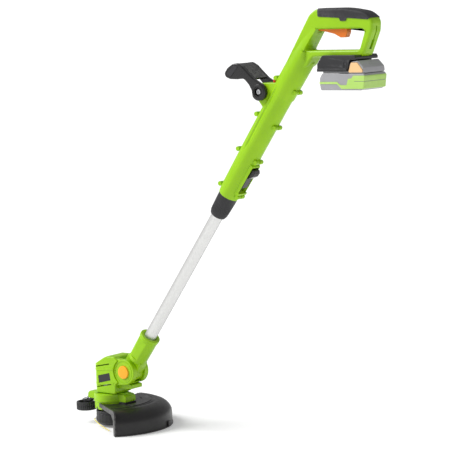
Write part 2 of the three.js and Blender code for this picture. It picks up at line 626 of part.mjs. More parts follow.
// ---- guard, its blade and the edge wheel ----
function guard() {
  const { radius, flat, topZ, creaseZ, wall, nearEdge, farEdge } = guardSize;
  const hood = turned([
    [38.6, topZ - wall], [flat - 1, topZ - wall], [radius - 8, creaseZ - 1], [radius - wall, creaseZ - 5],
    [radius - wall, 0], [radius, 0], [radius, creaseZ - 3], [radius - 5, creaseZ + 1], [flat, topZ], [38.6, topZ],
  ], 56);
  const far = 200;
  const near = THREE.MathUtils.degToRad(nearEdge);
  const back = THREE.MathUtils.degToRad(farEdge);
  const edge = new THREE.Vector2(radius * Math.cos(near), -radius * Math.sin(near));
  const wedge = planPlate([
    [-2, -38], [edge.x, edge.y], [edge.x + 60, edge.y - 60], [far, -far], [far, far], [0, far],
    [far * Math.cos(back), far * Math.sin(back)], [-3, 36], [12, 0],
  ], -10, 100);
  // square fin along the open near edge
  const along = edge.clone().sub(new THREE.Vector2(-2, -38)).normalize();
  const finOuter = edge.clone().addScaledVector(along, 12);
  const finStrip = planPlate([
    [-2, -38], [finOuter.x, finOuter.y], [finOuter.x - along.y * 3, finOuter.y + along.x * 3],
    [-2 - along.y * 3, -38 + along.x * 3],
  ], -10, 100);
  const fin = turned([
    [38.6, topZ - 7], [flat + 6, topZ - 9], [radius - 8, topZ - 20], [radius - 8, 0], [radius + 1, 0],
    [radius + 1, topZ - 7], [radius - 5, topZ + 1.3], [38.6, topZ + 1.3],
  ], 56).intersect(finStrip);
  const tab = box(20, 54, -17, 17, topZ - wall, topZ + 2.6).subtract(post(0, 0, 38.6, 0, 90, 28));
  const body = union([hood.intersect(wedge), fin, tab]);
  piece('guard', body.subtract(post(45, 0, 2.6, 30, 70, 10)), blackPlastic);
  piece('guard_screw', union([post(45, 0, 1.5, 47, 65, 10), post(45, 0, 4, 46, 48.6, 14)]), steel);
  const turn = new THREE.Matrix4().makeRotationZ(back - 0.1);
  piece('line_cutter', box(100, 123.6, -1, 1, 6, 26, turn), steel);
}

function edgeWheel() {
  const { x, radius, z0, z1 } = wheel;
  const tyre = turned([
    [4, z0], [radius - 2, z0], [radius, z0 + 2], [radius, z1 - 2], [radius - 2, z1], [radius - 6, z1],
    [radius - 6, z0 + 6], [8, z0 + 6], [8, z1 - 4], [4, z1 - 4],
  ], 22, place(x, 0, 0));
  piece('edge_wheel', tyre, blackPlastic);
  const armOutline = [
    [x - 7, 46], [x - 7, 50], [-62, 50], [-58, 54.7], [-41, 54.7], [-41, 51], [-54, 51], [-60, 46],
  ];
  const arm = union([sidePlate(rounded(armOutline, 1, 2), -6, 6), post(x, 0, 7, 41.6, 50, 20)]);
  const drilled = arm.subtract(post(x, 0, 3.1, 30, 60, 12)).subtract(post(-50, 0, 3.2, 40, 60, 12));
  piece('wheel_arm', drilled, blackPlastic);
  const hook = [[3.2, 50.3], [3.2, 55], [5.5, 58], [9, 57], [9.6, 54], [8, 54], [7.6, 55.8], [6, 56], [5.2, 54.6],
    [5.2, 50.3]].map(([u, v]) => [x + u, v]);
  const axle = union([post(x, 0, 2.8, z0 - 1.2, 51, 14), post(x, 0, 6.5, z0 - 2.4, z0 - 0.4, 16)]);
  piece('wheel_axle', axle, steel);
  const washer = turned([[3, 50.3], [5.5, 50.3], [5.5, 51.8], [3, 51.8]], 16, place(x, 0, 0));
  piece('wheel_clip', sidePlate(hook, -1.2, 1.2).add(washer).subtract(post(x, 0, 3, 40, 52.5, 14)), steel);
  piece('bracket_screw', union([post(-50, 0, 2.6, 48, 64, 10), post(-49, 0, 4, 47.6, 49.6, 14)]), steel);
}

housing();
triggerGroup();
dock();
batteryPack();
lockSlider();
forkHandle();
tubeGroup();
knuckle();
motorHead();
headBase();
spoolGroup();
trimmerLine();
guard();
edgeWheel();

export default root;
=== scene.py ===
import json
import math
import bpy
from mathutils import Matrix, Vector


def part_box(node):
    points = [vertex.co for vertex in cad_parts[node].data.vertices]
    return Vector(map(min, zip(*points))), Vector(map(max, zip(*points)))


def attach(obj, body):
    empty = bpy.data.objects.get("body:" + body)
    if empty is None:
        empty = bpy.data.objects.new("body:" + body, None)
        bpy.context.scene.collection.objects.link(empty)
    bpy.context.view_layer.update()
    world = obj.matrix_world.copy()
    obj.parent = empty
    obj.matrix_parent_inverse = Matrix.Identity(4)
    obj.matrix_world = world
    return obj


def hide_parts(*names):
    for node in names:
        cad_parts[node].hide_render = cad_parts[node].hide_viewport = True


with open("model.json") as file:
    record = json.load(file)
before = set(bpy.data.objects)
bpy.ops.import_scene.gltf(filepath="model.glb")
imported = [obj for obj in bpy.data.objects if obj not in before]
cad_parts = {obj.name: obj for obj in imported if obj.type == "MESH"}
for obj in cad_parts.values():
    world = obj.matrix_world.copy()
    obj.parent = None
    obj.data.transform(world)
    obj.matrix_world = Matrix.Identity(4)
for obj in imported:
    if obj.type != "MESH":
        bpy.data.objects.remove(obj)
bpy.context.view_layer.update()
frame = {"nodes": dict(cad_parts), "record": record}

print("frame loaded:", len(frame["nodes"]), "nodes")

# the tool's own millimetres: zero is on the spool's axis at the guard's rim, +X to the rear, +Z up
capLow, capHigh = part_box("spool_cap")
spoolAxis = Vector(((capLow.x + capHigh.x) / 2, 0, capLow.z - 0.003))
toolFrame = Matrix.Translation(spoolAxis) @ Matrix.Scale(0.001, 4)
shaftLean = 36.5  # degrees
tiltPivot = (59, 0, 122)
shaftFrame = toolFrame @ Matrix.Translation(tiltPivot) @ Matrix.Rotation(math.radians(shaftLean), 4, "Y")
seamGap = 0.3  # between the two halves of a housing
bodyOf = {node: body for body, nodes in frame["record"]["behaviour"]["bodies"].items() for node in nodes}


# camera
cameraPlan = {
    "place": (2.3815, -3.3367, 0.0851),
    "ahead": (-0.62291, 0.77360, -0.11631),
    "roll": -2.242,
    "lens": 168.45,
    "sensor": 36,
}


def addCamera():
    plan = cameraPlan
    bpy.ops.object.camera_add(location=plan["place"])
    camera = bpy.context.object
    turn = Vector(plan["ahead"]).to_track_quat("-Z", "Y").to_matrix().to_4x4()
    turn = turn @ Matrix.Rotation(math.radians(plan["roll"]), 4, "Z")
    camera.matrix_world = Matrix.Translation(plan["place"]) @ turn
    camera.data.lens = plan["lens"]
    camera.data.sensor_width = plan["sensor"]
    camera.data.clip_end = 2000
    bpy.context.scene.camera = camera


addCamera()


# shared node groups
def newGroup(name, inputs, outputs):
    group = bpy.data.node_groups.new(name, "ShaderNodeTree")
    for label, start in inputs:
        socket = group.interface.new_socket(label, in_out="INPUT", socket_type="NodeSocketFloat")
        socket.default_value = start
    for label in outputs:
        group.interface.new_socket(label, in_out="OUTPUT", socket_type="NodeSocketFloat")
    return group, group.nodes.new("NodeGroupInput"), group.nodes.new("NodeGroupOutput")


def addNode(tree, kind, **values):
    node = tree.nodes.new(kind)
    for key, value in values.items():
        if hasattr(node, key):
            setattr(node, key, value)
        else:
            node.inputs[key.replace("_", " ")].default_value = value
    return node


def mathNode(tree, operation, first, second):
    node = addNode(tree, "ShaderNodeMath", operation=operation)
    for socket, value in zip(node.inputs, (first, second)):
        if isinstance(value, (int, float)):
            socket.default_value = value
        else:
            tree.links.new(value, socket)
    return node.outputs[0]


def rampNode(tree, value, low, high):
    node = addNode(tree, "ShaderNodeMapRange", interpolation_type="SMOOTHSTEP", clamp=True)
    tree.links.new(value, node.inputs["Value"])
    node.inputs["From Min"].default_value = low
    node.inputs["From Max"].default_value = high
    return node.outputs[0]


def scaleTextures(tree, ins, textures):
    # textures on object coordinates, each a factor times as fine as the group's size
    place = addNode(tree, "ShaderNodeTexCoord")
    for texture, factor in textures:
        tree.links.new(place.outputs["Object"], texture.inputs["Vector"])
        tree.links.new(mathNode(tree, "MULTIPLY", ins.outputs["Size"], factor), texture.inputs["Scale"])


def mouldGrainGroup():
    # the fine spark-eroded grain that a mould leaves on plastic
    tree, ins, outs = newGroup("mouldGrain", [("Size", 900.0)], ["Height"])
    noise = addNode(tree, "ShaderNodeTexNoise", Detail=3.0, Roughness=0.6)
    cells = addNode(tree, "ShaderNodeTexVoronoi", feature="SMOOTH_F1", Smoothness=0.6)
    scaleTextures(tree, ins, [(noise, 1.0), (cells, 1.7)])
    both = mathNode(tree, "ADD", noise.outputs[0], mathNode(tree, "MULTIPLY", cells.outputs["Distance"], 0.5))
    tree.links.new(both, outs.inputs["Height"])
    return tree


def edgeHighlightGroup():
    # painted highlight: lighter corners where edges catch the light, broken up by noise
    tree, ins, outs = newGroup("edgeHighlight", [("Reach", 0.06)], ["Mask"])
    shape = addNode(tree, "ShaderNodeNewGeometry")
    place = addNode(tree, "ShaderNodeTexCoord")
    noise = addNode(tree, "ShaderNodeTexNoise", Scale=140.0, Detail=4.0, Roughness=0.7)
    tree.links.new(place.outputs["Object"], noise.inputs["Vector"])
    cornerStart = 0.53  # pointiness at which a face counts as a corner
    top = mathNode(tree, "ADD", cornerStart, ins.outputs["Reach"])
    corner = addNode(tree, "ShaderNodeMapRange", interpolation_type="SMOOTHSTEP", clamp=True)
    tree.links.new(shape.outputs["Pointiness"], corner.inputs["Value"])
    corner.inputs["From Min"].default_value = cornerStart
    tree.links.new(top, corner.inputs["From Max"])
    broken = mathNode(tree, "MULTIPLY", corner.outputs[0], rampNode(tree, noise.outputs[0], 0.3, 0.75))
    tree.links.new(broken, outs.inputs["Mask"])
    return tree


def toneDriftGroup():
    # slow cloudy change of tone, and a faint haze of handling marks
    tree, ins, outs = newGroup("toneDrift", [("Size", 18.0)], ["Cloud", "Haze"])
    cloud = addNode(tree, "ShaderNodeTexNoise", Detail=2.0, Roughness=0.5)
    haze = addNode(tree, "ShaderNodeTexNoise", Detail=5.0, Roughness=0.65, Distortion=0.4)
    scaleTextures(tree, ins, [(cloud, 1.0), (haze, 6.0)])
    tree.links.new(rampNode(tree, cloud.outputs[0], 0.3, 0.7), outs.inputs["Cloud"])
    tree.links.new(rampNode(tree, haze.outputs[0], 0.42, 0.72), outs.inputs["Haze"])
    return tree


mouldGrain = mouldGrainGroup()
edgeHighlight = edgeHighlightGroup()
toneDrift = toneDriftGroup()


def placeGroup(tree, group, **values):
    node = tree.nodes.new("ShaderNodeGroup")
    node.node_tree = group
    for key, value in values.items():
        node.inputs[key].default_value = value
    return node


def tone(red, green, blue):
    # a screen colour, 0 to 255, as the linear colour that a shader takes
    steps = [c / 255 for c in (red, green, blue)]
    return tuple(c / 12.92 if c <= 0.04045 else ((c + 0.055) / 1.055) ** 2.4 for c in steps) + (1.0,)


def mixColour(tree, factor, first, second):
    node = addNode(tree, "ShaderNodeMix", data_type="RGBA", blend_type="MIX")
    tree.links.new(factor, node.inputs[0])
    for socket, value in zip((node.inputs[6], node.inputs[7]), (first, second)):
        if isinstance(value, tuple):
            socket.default_value = value
        else:
            tree.links.new(value, socket)
    return node.outputs[2]


def newMaterial(name):
    material = bpy.data.materials.new(name)
    material.use_nodes = True
    return material, material.node_tree, material.node_tree.nodes["Principled BSDF"]


def setRoughness(tree, shader, mask, low, high):
    spread = mathNode(tree, "MULTIPLY", mask, high - low)
    tree.links.new(mathNode(tree, "ADD", spread, low), shader.inputs["Roughness"])


def setBump(tree, shader, height, strength, distance):
    bump = addNode(tree, "ShaderNodeBump", Strength=strength, Distance=distance)
    tree.links.new(height, bump.inputs["Height"])
    tree.links.new(bump.outputs[0], shader.inputs["Normal"])


def plastic(name, colour, second, corner, highlightStrength, grain, bump, low, high, specular=0.5, coat=0.0):
    # moulded plastic: a main tone, a second one that it drifts to, and paler corners as a painted highlight
    material, tree, shader = newMaterial(name)
    drift = placeGroup(tree, toneDrift, Size=18.0)
    edges = placeGroup(tree, edgeHighlight, Reach=0.08)
    surface = placeGroup(tree, mouldGrain, Size=grain)
    base = mixColour(tree, drift.outputs["Cloud"], tone(*colour), tone(*second))
    # painted highlight: corners pulled towards the paler corner tone
    highlighted = mathNode(tree, "MULTIPLY", edges.outputs["Mask"], highlightStrength)
    tree.links.new(mixColour(tree, highlighted, base, tone(*corner)), shader.inputs["Base Color"])
    setRoughness(tree, shader, drift.outputs["Haze"], low, high)
    setBump(tree, shader, surface.outputs["Height"], bump, 0.0002)
    shader.inputs["Specular IOR Level"].default_value = specular
    shader.inputs["Coat Weight"].default_value = coat
    shader.inputs["Coat Roughness"].default_value = 0.18
    return material


def metal(name, plan):
    # drawn or turned metal: fine streaks along one direction, with a few darker stains
    material, tree, shader = newMaterial(name)
    place = addNode(tree, "ShaderNodeTexCoord")
    lie = addNode(tree, "ShaderNodeMapping")
    lie.inputs["Rotation"].default_value = (0, math.radians(-plan.get("lean", 0)), 0)
    lie.inputs["Scale"].default_value = plan["streak"]
    noise = addNode(tree, "ShaderNodeTexNoise", Scale=1.0, Detail=4.0, Roughness=0.6)
    tree.links.new(place.outputs["Object"], lie.inputs["Vector"])
    tree.links.new(lie.outputs[0], noise.inputs["Vector"])
    drift = placeGroup(tree, toneDrift, Size=30.0)
    streak = rampNode(tree, noise.outputs[0], 0.3, 0.7)
    base = mixColour(tree, streak, tone(*plan["colour"]), tone(*plan["drift"]))
    stain = mathNode(tree, "MULTIPLY", drift.outputs["Haze"], plan["stain"])
    tree.links.new(mixColour(tree, stain, base, tone(*plan["dark"])), shader.inputs["Base Color"])
    setRoughness(tree, shader, streak, *plan["roughness"])
    setBump(tree, shader, noise.outputs[0], plan["bump"], 0.0001)
    shader.inputs["Metallic"].default_value = plan["metallic"]
    return material


def windings(name, along, pitch, colour, dark, roughness):
    # line or sleeve wound round an axis: bands along it; on the wound line the darker band tone is painted
    # shade between turns
    material, tree, shader = newMaterial(name)
    place = addNode(tree, "ShaderNodeTexCoord")
    bands = addNode(tree, "ShaderNodeTexWave", bands_direction=along, Scale=pitch, Distortion=0.3)
    tree.links.new(place.outputs["Object"], bands.inputs["Vector"])
    tree.links.new(mixColour(tree, bands.outputs[1], tone(*dark), tone(*colour)), shader.inputs["Base Color"])
    setBump(tree, shader, bands.outputs[1], 0.6, 0.0006)
    shader.inputs["Roughness"].default_value = roughness
    return material


# colour, second tone, painted corner highlight tone, its strength, grain size, bump, roughness from and to,
# specular, coat
plastics = {
    "lime_plastic": ((148, 197, 6), (141, 191, 5), (200, 236, 66), 0.45, 1300, 0.1, 0.34, 0.44, 0.35),
    "black_plastic": ((40, 40, 42), (35, 35, 37), (96, 96, 98), 0.5, 1100, 0.28, 0.38, 0.5, 0.4),
    "guard_plastic": ((29, 28, 29), (24, 23, 24), (104, 102, 102), 0.6, 900, 0.3, 0.34, 0.46, 0.42),
    "gloss_black": ((30, 29, 30), (26, 25, 26), (120, 118, 118), 0.6, 1400, 0.08, 0.22, 0.34, 0.4, 0.15),
    "soft_grip": ((48, 47, 50), (42, 41, 44), (100, 99, 102), 0.5, 1500, 0.5, 0.62, 0.78, 0.35),
    "trigger_orange": ((234, 122, 14), (228, 114, 12), (252, 170, 70), 0.4, 1300, 0.12, 0.36, 0.46),
    "button_orange": ((248, 172, 22), (245, 165, 18), (255, 214, 110), 0.4, 1300, 0.12, 0.34, 0.44),
    "red_plastic": ((228, 52, 18), (216, 44, 16), (246, 110, 70), 0.4, 1400, 0.1, 0.3, 0.4),
    "pale_grey": ((156, 156, 159), (150, 150, 153), (216, 216, 218), 0.4, 1100, 0.25, 0.44, 0.56),
    "pale_green": ((172, 210, 104), (166, 205, 97), (222, 242, 172), 0.3, 1100, 0.15, 0.42, 0.52),
    "pale_orange": ((234, 192, 138), (230, 186, 130), (254, 228, 190), 0.3, 1100, 0.15, 0.42, 0.52),
    "label_black": ((28, 26, 33), (24, 22, 28), (90, 88, 96), 0.3, 1600, 0.06, 0.28, 0.4),
    "cutting_line": ((244, 222, 40), (236, 210, 30), (250, 236, 110), 0.2, 1600, 0.06, 0.25, 0.35),
}
metals = {
    "aluminium_tube": {
        "colour": (226, 226, 224), "drift": (212, 212, 211), "dark": (192, 192, 192), "stain": 0.15,
        "streak": (900, 900, 6), "lean": shaftLean, "roughness": (0.3, 0.42), "bump": 0.12, "metallic": 0.75,
    },
    "steel": {
        "colour": (196, 197, 199), "drift": (176, 177, 180), "dark": (120, 118, 114), "stain": 0.35,
        "streak": (400, 400, 400), "roughness": (0.22, 0.38), "bump": 0.1, "metallic": 1.0,
    },
    "motor_steel": {
        "colour": (168, 168, 166), "drift": (150, 150, 149), "dark": (98, 96, 92), "stain": 0.4,
        "streak": (300, 300, 30), "roughness": (0.3, 0.45), "bump": 0.15, "metallic": 1.0,
    },
}
wound = {  # axis, pitch, colour, gaps, roughness
    # wound_line: its darker gap tone is painted shade between the turns
    "wound_line": ("Z", 95, (238, 214, 38), (150, 126, 12), 0.34),
    "cell_sleeve": ("Y", 5, (96, 150, 190), (190, 190, 188), 0.4),
}
materials = {name: plastic(name, *row) for name, row in plastics.items()}
materials.update({name: metal(name, plan) for name, plan in metals.items()})
materials.update({name: windings(name, *row) for name, row in wound.items()})
print("materials made:", len(materials))


# modelling steps shared by many pieces
def deselect():
    bpy.ops.object.select_all(action="DESELECT")


def useOnly(piece):
    deselect()
    piece.select_set(True)
    bpy.context.view_layer.objects.active = piece


def startEdit(piece):
    useOnly(piece)
    bpy.ops.object.mode_set(mode="EDIT")
    bpy.ops.mesh.select_all(action="SELECT")


def endEdit():
    bpy.ops.object.mode_set(mode="OBJECT")


def settle(piece, place):
    # puts the piece in its place and leaves its object at the origin
    useOnly(piece)
    piece.matrix_world = place
    bpy.ops.object.transform_apply(location=True, rotation=True, scale=True)
    return piece


def bevelEdges(piece, width, segments=3, angle=40):
    useOnly(piece)
    bevel = piece.modifiers.new("bevel", "BEVEL")
    bevel.width = width
    bevel.segments = segments
    bevel.limit_method = "ANGLE"
    bevel.angle_limit = math.radians(angle)
    bevel.use_clamp_overlap = False
    bevel.miter_outer = "MITER_ARC"
    bpy.ops.object.modifier_apply(modifier="bevel")
    return piece


def arcPoints(u, v, radius, fromAngle, toAngle, steps=10):
    turns = [math.radians(fromAngle + (toAngle - fromAngle) * i / steps) for i in range(steps + 1)]
    return [(u + radius * math.cos(a), v + radius * math.sin(a)) for a in turns]


def roundCorners(points, radius, steps=6):
    # a corner may carry its own radius as a third number
    out = []
    for i, point in enumerate(points):
        corner = Vector(point[:2])
        back = Vector(points[i - 1][:2]) - corner
        ahead = Vector(points[(i + 1) % len(points)][:2]) - corner
        half = back.angle(ahead) / 2
        size = point[2] if len(point) > 2 else radius
        reach = min(size / math.tan(half), back.length * 0.45, ahead.length * 0.45)
        start = corner + back.normalized() * reach
        end = corner + ahead.normalized() * reach
        for k in range(steps + 1):
            t = k / steps
            spot = start * (1 - t) ** 2 + corner * 2 * t * (1 - t) + end * t ** 2
            out.append((spot.x, spot.y))
    return out


def plate(points, near, far, bevel=0, place=toolFrame, segments=3):
    # a side outline [x, z], as thick along Y as from near to far
    deselect()
    bpy.ops.mesh.primitive_circle_add(vertices=len(points), fill_type="NGON")
    piece = bpy.context.object
    for vertex, (u, v) in zip(piece.data.vertices, points):
        vertex.co = (u, near, v)
    startEdit(piece)
    bpy.ops.mesh.extrude_region_move(TRANSFORM_OT_translate={"value": (0, far - near, 0)})
    bpy.ops.mesh.select_all(action="SELECT")
    bpy.ops.mesh.normals_make_consistent(inside=False)
    endEdit()
    if bevel:
        bevelEdges(piece, bevel, segments)
    return settle(piece, place)


def planPlate(points, low, high, place=toolFrame, bevel=0):
    # a plan outline [x, y], standing on Z from low to high
    upright = place @ Matrix.Rotation(math.radians(-90), 4, "X")
    return plate(points, -high, -low, bevel, upright)


def turned(profile, steps=64, place=toolFrame):
    # a closed outline of [radius, height], spun about Z
    deselect()
    bpy.ops.mesh.primitive_circle_add(vertices=len(profile), fill_type="NOTHING")
    piece = bpy.context.object
    for vertex, (r, h) in zip(piece.data.vertices, profile):
        vertex.co = (r, 0, h)
    startEdit(piece)
    bpy.ops.mesh.spin(steps=steps, angle=2 * math.pi, center=(0, 0, 0), axis=(0, 0, 1))
    bpy.ops.mesh.select_all(action="SELECT")
    bpy.ops.mesh.remove_doubles(threshold=0.002)
    bpy.ops.mesh.dissolve_degenerate(threshold=0.001)
    bpy.ops.mesh.delete_loose()
    bpy.ops.mesh.select_all(action="SELECT")
    bpy.ops.mesh.normals_make_consistent(inside=False)
    endEdit()
    return settle(piece, place)


def rod(radius, low, high, at=(0, 0), along="Z", bevel=0, sides=40, place=toolFrame, topRadius=None):
    # a bar along Z at [x, y], or along Y at [x, z]
    deselect()
    top = radius if topRadius is None else topRadius
    bpy.ops.mesh.primitive_cone_add(vertices=sides, radius1=radius, radius2=top, depth=high - low)
    piece = bpy.context.object
    middle = (low + high) / 2
    if along == "Z":
        spot = Matrix.Translation((at[0], at[1], middle))
    else:
        spot = Matrix.Translation((at[0], middle, at[1])) @ Matrix.Rotation(math.radians(-90), 4, "X")
    if bevel:
        bevelEdges(piece, bevel, 3)
    return settle(piece, place @ spot)


def block(x0, x1, y0, y1, z0, z1, bevel=0, place=toolFrame):
    deselect()
    bpy.ops.mesh.primitive_cube_add(size=1)
    piece = bpy.context.object
    settle(piece, Matrix.Diagonal((x1 - x0, y1 - y0, z1 - z0, 1)))
    if bevel:
        bevelEdges(piece, bevel, 3)
    return settle(piece, place @ Matrix.Translation(((x0 + x1) / 2, (y0 + y1) / 2, (z0 + z1) / 2)))


def boolean(piece, other, how):
    useOnly(piece)
    step = piece.modifiers.new("step", "BOOLEAN")
    step.operation = how
    step.solver = "MANIFOLD"
    step.object = other
    bpy.ops.object.modifier_apply(modifier="step")
    bpy.data.objects.remove(other)
    if not piece.data.vertices:
        print("nothing left after", how)
    return piece


def joined(piece, *others):
    for other in others:
        boolean(piece, other, "UNION")
    return piece


def cut(piece, *others):
    for other in others:
        boolean(piece, other, "DIFFERENCE")
    return piece


def common(piece, other):
    return boolean(piece, other, "INTERSECT")


def copyOf(piece):
    twin = bpy.data.objects.new("twin", piece.data.copy())
    bpy.context.scene.collection.objects.link(twin)
    return twin


def clean(piece):
    spread = 0.00001
    startEdit(piece)
    bpy.ops.mesh.remove_doubles(threshold=spread)
    bpy.ops.mesh.dissolve_degenerate(threshold=spread)
    bpy.ops.mesh.select_all(action="SELECT")
    bpy.ops.mesh.dissolve_limited(angle_limit=math.radians(0.6))
    endEdit()
    return piece


def sideOf(piece, side):
    # the half of a housing on one side of its seam: -1 left, +1 right
    below, above = -400, 1200  # well past the tool each way
    low, high = (below, -seamGap / 2) if side < 0 else (seamGap / 2, -below)
    return common(copyOf(piece), block(below, above, low, high, below, above))


def finish(piece, material, node, ending="moulded", smooth=32, name=None):
    # name, surface, shading, body and slot of a finished piece
    piece.name = name or f"{node}_{ending}"
    piece.data.name = piece.name
    piece.data.materials.clear()
    piece.data.materials.append(materials[material])
    useOnly(piece)
    bpy.ops.object.shade_smooth_by_angle(angle=math.radians(smooth))
    facing = piece.modifiers.new("facing", "WEIGHTED_NORMAL")
    facing.keep_sharp = True
    bpy.ops.object.modifier_apply(modifier="facing")
    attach(piece, bodyOf[node])
    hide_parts(node)


sides = ((-1, "left"), (1, "right"))


def finishHalves(piece, node):
    for side, word in sides:
        finish(sideOf(piece, side), "lime_plastic", f"{node}_{word}")
    bpy.data.objects.remove(piece)


def refined(node, material, width):
    # a copy of a plain solid, merged, with its corners rounded off
    piece = clean(copyOf(frame["nodes"][node]))
    bevelEdges(piece, width, 2, 35)
    finish(piece, material, node, "steel" if material == "steel" else "moulded")


# cord: the free end of the cutting line
cordPlan = {
    "radius": 0.8,
    "route": [
        (-27.1, -24, 16), (-27.7, -25.6, 15.7), (-26.9, -27.6, 15), (-24.6, -29.6, 14.2),
        (-21.4, -31.6, 13.2), (-17.4, -33.6, 12.2), (-12.8, -35.8, 11.1), (-7.6, -38.2, 10), (-2, -40.8, 8.9),
        (4, -43.4, 7.8), (10.2, -46, 6.7), (16.6, -48.6, 5.6), (23, -51, 4.7), (29.4, -53.4, 3.9),
        (35.6, -55.6, 3.2), (41.3, -57.6, 2.6),
    ],
}


def trimmerLine():
    route = [toolFrame @ Vector(p) for p in cordPlan["route"]]
    curve = bpy.data.curves.new("free_line", "CURVE")
    curve.dimensions = "3D"
    curve.bevel_depth = cordPlan["radius"] * 0.001
    curve.bevel_resolution = 4
    curve.use_fill_caps = True
    curve.resolution_u = 6
    spline = curve.splines.new("NURBS")
    spline.points.add(len(route) - 1)
    for point, spot in zip(spline.points, route):
        point.co = (*spot, 1)
    spline.order_u = 3
    spline.use_endpoint_u = True
    piece = bpy.data.objects.new("free_line", curve)
    bpy.context.scene.collection.objects.link(piece)
    curve.materials.append(materials["cutting_line"])
    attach(piece, "spool")
    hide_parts("trimmer_line")


trimmerLine()
print("cord made")


# housing: barrel and D-handle in two shells
housingPlan = {
    "sections": [  # height, front, rear, half width
        (474, 21.2, 21.2, 21.2), (480, 22, 21.8, 22.1), (492, 22.5, 22, 22.5), (600, 25.5, 21, 23.2),
        (700, 27, 20, 23.5), (760, 28, 21, 24), (815, 28.5, 22, 22), (838, 29, 1.5, 20), (880, 30.5, 0.5, 17),
    ],
    "sides": 96,
    "rows": 80,
    "swage": {"from": 598, "to": 728, "n": -7, "half": 3.2, "depth": 2.2, "drift": -0.03},
    "panelProud": 1.9,
    "bossStations": [487, 573, 658, 745],
    "bossRear": [24, 22.5, 22, 23.5],
    "bossFront": [-25, -27.5, -29, -30],
    "bossRadius": 4.75,
    "bossReach": 11.5,
    "bore": 14.6,
    "boreTop": 822,
    "window": {"from": 497, "to": 560, "half": 11},
    "handleHalf": 17,
    "handleBevel": 4.5,
    "frontPivot": (445, 710),
    "releaseAt": (464, 4),
}
handleOutline = roundCorners([
    (505, 764, 30), (566, 857, 20), (582, 867.5, 20), (650, 867.5, 300), (694, 860, 60), (713, 845, 16),
    (711, 824, 20), (690, 777, 12), (572, 777, 12), (556, 757, 20), (520, 748, 20),
], 6, 9)
holeOutline = roundCorners([(553, 789), (576, 829), (696, 829), (681, 789)], 8, 8)
gripOutline = roundCorners([
    (588, 853), (588, 872), (700, 872), (714, 853), (704, 846), (656, 849.5), (653, 844, 1.5),
    (641, 844, 1.5), (638, 850),
], 3)
gripCoreOutline = roundCorners([
    (590.5, 830), (590.5, 865.8, 2), (650, 865.8, 300), (692.5, 858.5, 60), (706.5, 848, 8), (700, 830),
], 3)


def between(rows, height):
    # the row of numbers at a height, read off a table of sections
    for low, high in zip(rows, rows[1:]):
        if height <= high[0]:
            t = (height - low[0]) / (high[0] - low[0])
            return [a + (b - a) * t for a, b in zip(low[1:], high[1:])]
    return list(rows[-1][1:])


def bulge(value, low, high, soft):
    # 1 between low and high, falling to 0 over the soft distance beyond
    return max(0.0, min(1.0, (value - low) / soft + 1, (high - value) / soft + 1))


def barrelPoint(angle, height, grow=0):
    plan = housingPlan
    front, rear, half = (size + grow for size in between(plan["sections"], height))
    c, s = math.cos(angle), math.sin(angle)
    power = 2 / 1.75 if c > 0 else 2 / 2.1
    n = (rear if c > 0 else front) * math.copysign(abs(c) ** power, c)
    y = half * math.copysign(abs(s) ** power, s)
    swage = plan["swage"]
    offset = n - swage["n"] - (height - swage["from"]) * swage["drift"]
    depth = swage["depth"] * bulge(height, swage["from"], swage["to"], 14)
    dip = depth * max(0.0, 1 - (offset / swage["half"]) ** 2)
    return n, y - math.copysign(dip, y), height


def barrel(low=474, high=880, grow=0):
    plan = housingPlan
    deselect()
    bpy.ops.mesh.primitive_cylinder_add(vertices=plan["sides"], radius=1, depth=2)
    piece = bpy.context.object
    startEdit(piece)
    bpy.ops.mesh.select_mode(type="EDGE")
    bpy.ops.mesh.select_all(action="DESELECT")
    endEdit()
    for edge in piece.data.edges:
        first, second = (piece.data.vertices[i].co for i in edge.vertices)
        edge.select = abs(first.z - second.z) > 1
    bpy.ops.object.mode_set(mode="EDIT")
    bpy.ops.mesh.subdivide(number_cuts=plan["rows"])
    bpy.ops.mesh.select_mode(type="VERT")
    endEdit()
    for vertex in piece.data.vertices:
        height = low + (high - low) * (vertex.co.z + 1) / 2
        vertex.co = barrelPoint(math.atan2(vertex.co.y, vertex.co.x), height, grow)
    return settle(piece, shaftFrame)


def screwBosses():
    # each boss is two posts that meet at the seam, with a narrow neck between them
    plan = housingPlan
    reach, neck = plan["bossReach"], 1.7
    made = []
    for station, rear, front in zip(plan["bossStations"], plan["bossRear"], plan["bossFront"]):
        for spot in ((rear, station), (front, station - 3)):
            for low, high in ((-reach, -neck), (neck, reach)):
                made.append(rod(plan["bossRadius"], low, high, spot, "Y", 0.9, 28, shaftFrame))
            made.append(rod(plan["bossRadius"] - 1.5, -neck - 1, neck + 1, spot, "Y", 0, 24, shaftFrame))
    return made


def rearPanel():
    # raised shell round the rear half of the upper barrel, with a round lower end
    outline = roundCorners([(-3, 830), (-3, 722, 17), (30, 722, 5), (30, 830)], 4, 8)
    return common(barrel(705, 829, housingPlan["panelProud"]), plate(outline, -40, 40, 0, shaftFrame))


def windowRim():
    window = housingPlan["window"]
    low, high, half = window["from"], window["to"], window["half"] + 1.9
    outline = roundCorners([(13, low - 3), (23.6, low - 1), (24.4, high + 3), (13, high + 6)], 3)
    rim = plate(outline, -half, half, 0.8, shaftFrame)
    lipOutline = roundCorners([(17, 489), (26.8, 492.5), (26.8, 498), (17, 498)], 1.2)
    return [rim, plate(lipOutline, -13.2, 13.2, 0.7, shaftFrame)]


def frontBoss():
    x, z = housingPlan["frontPivot"]
    outline = arcPoints(x, z, 17, 90, 205, 16) + [(x + 3, z - 32), (x + 22, z - 22), (x + 38, z + 17)]
    return plate(outline, -17.5, 17.5, 1.6)


def handleLoop():
    plan = housingPlan
    half = plan["handleHalf"]
    loop = plate(handleOutline, -half, half)
    cut(loop, plate(holeOutline, -half - 5, half + 5))
    settle(loop, toolFrame.inverted())
    bevelEdges(loop, plan["handleBevel"], 5, 60)
    return settle(loop, toolFrame)


def gripBand(half):
    return cut(plate(gripOutline, -25, 25), plate(gripCoreOutline, -half, half))


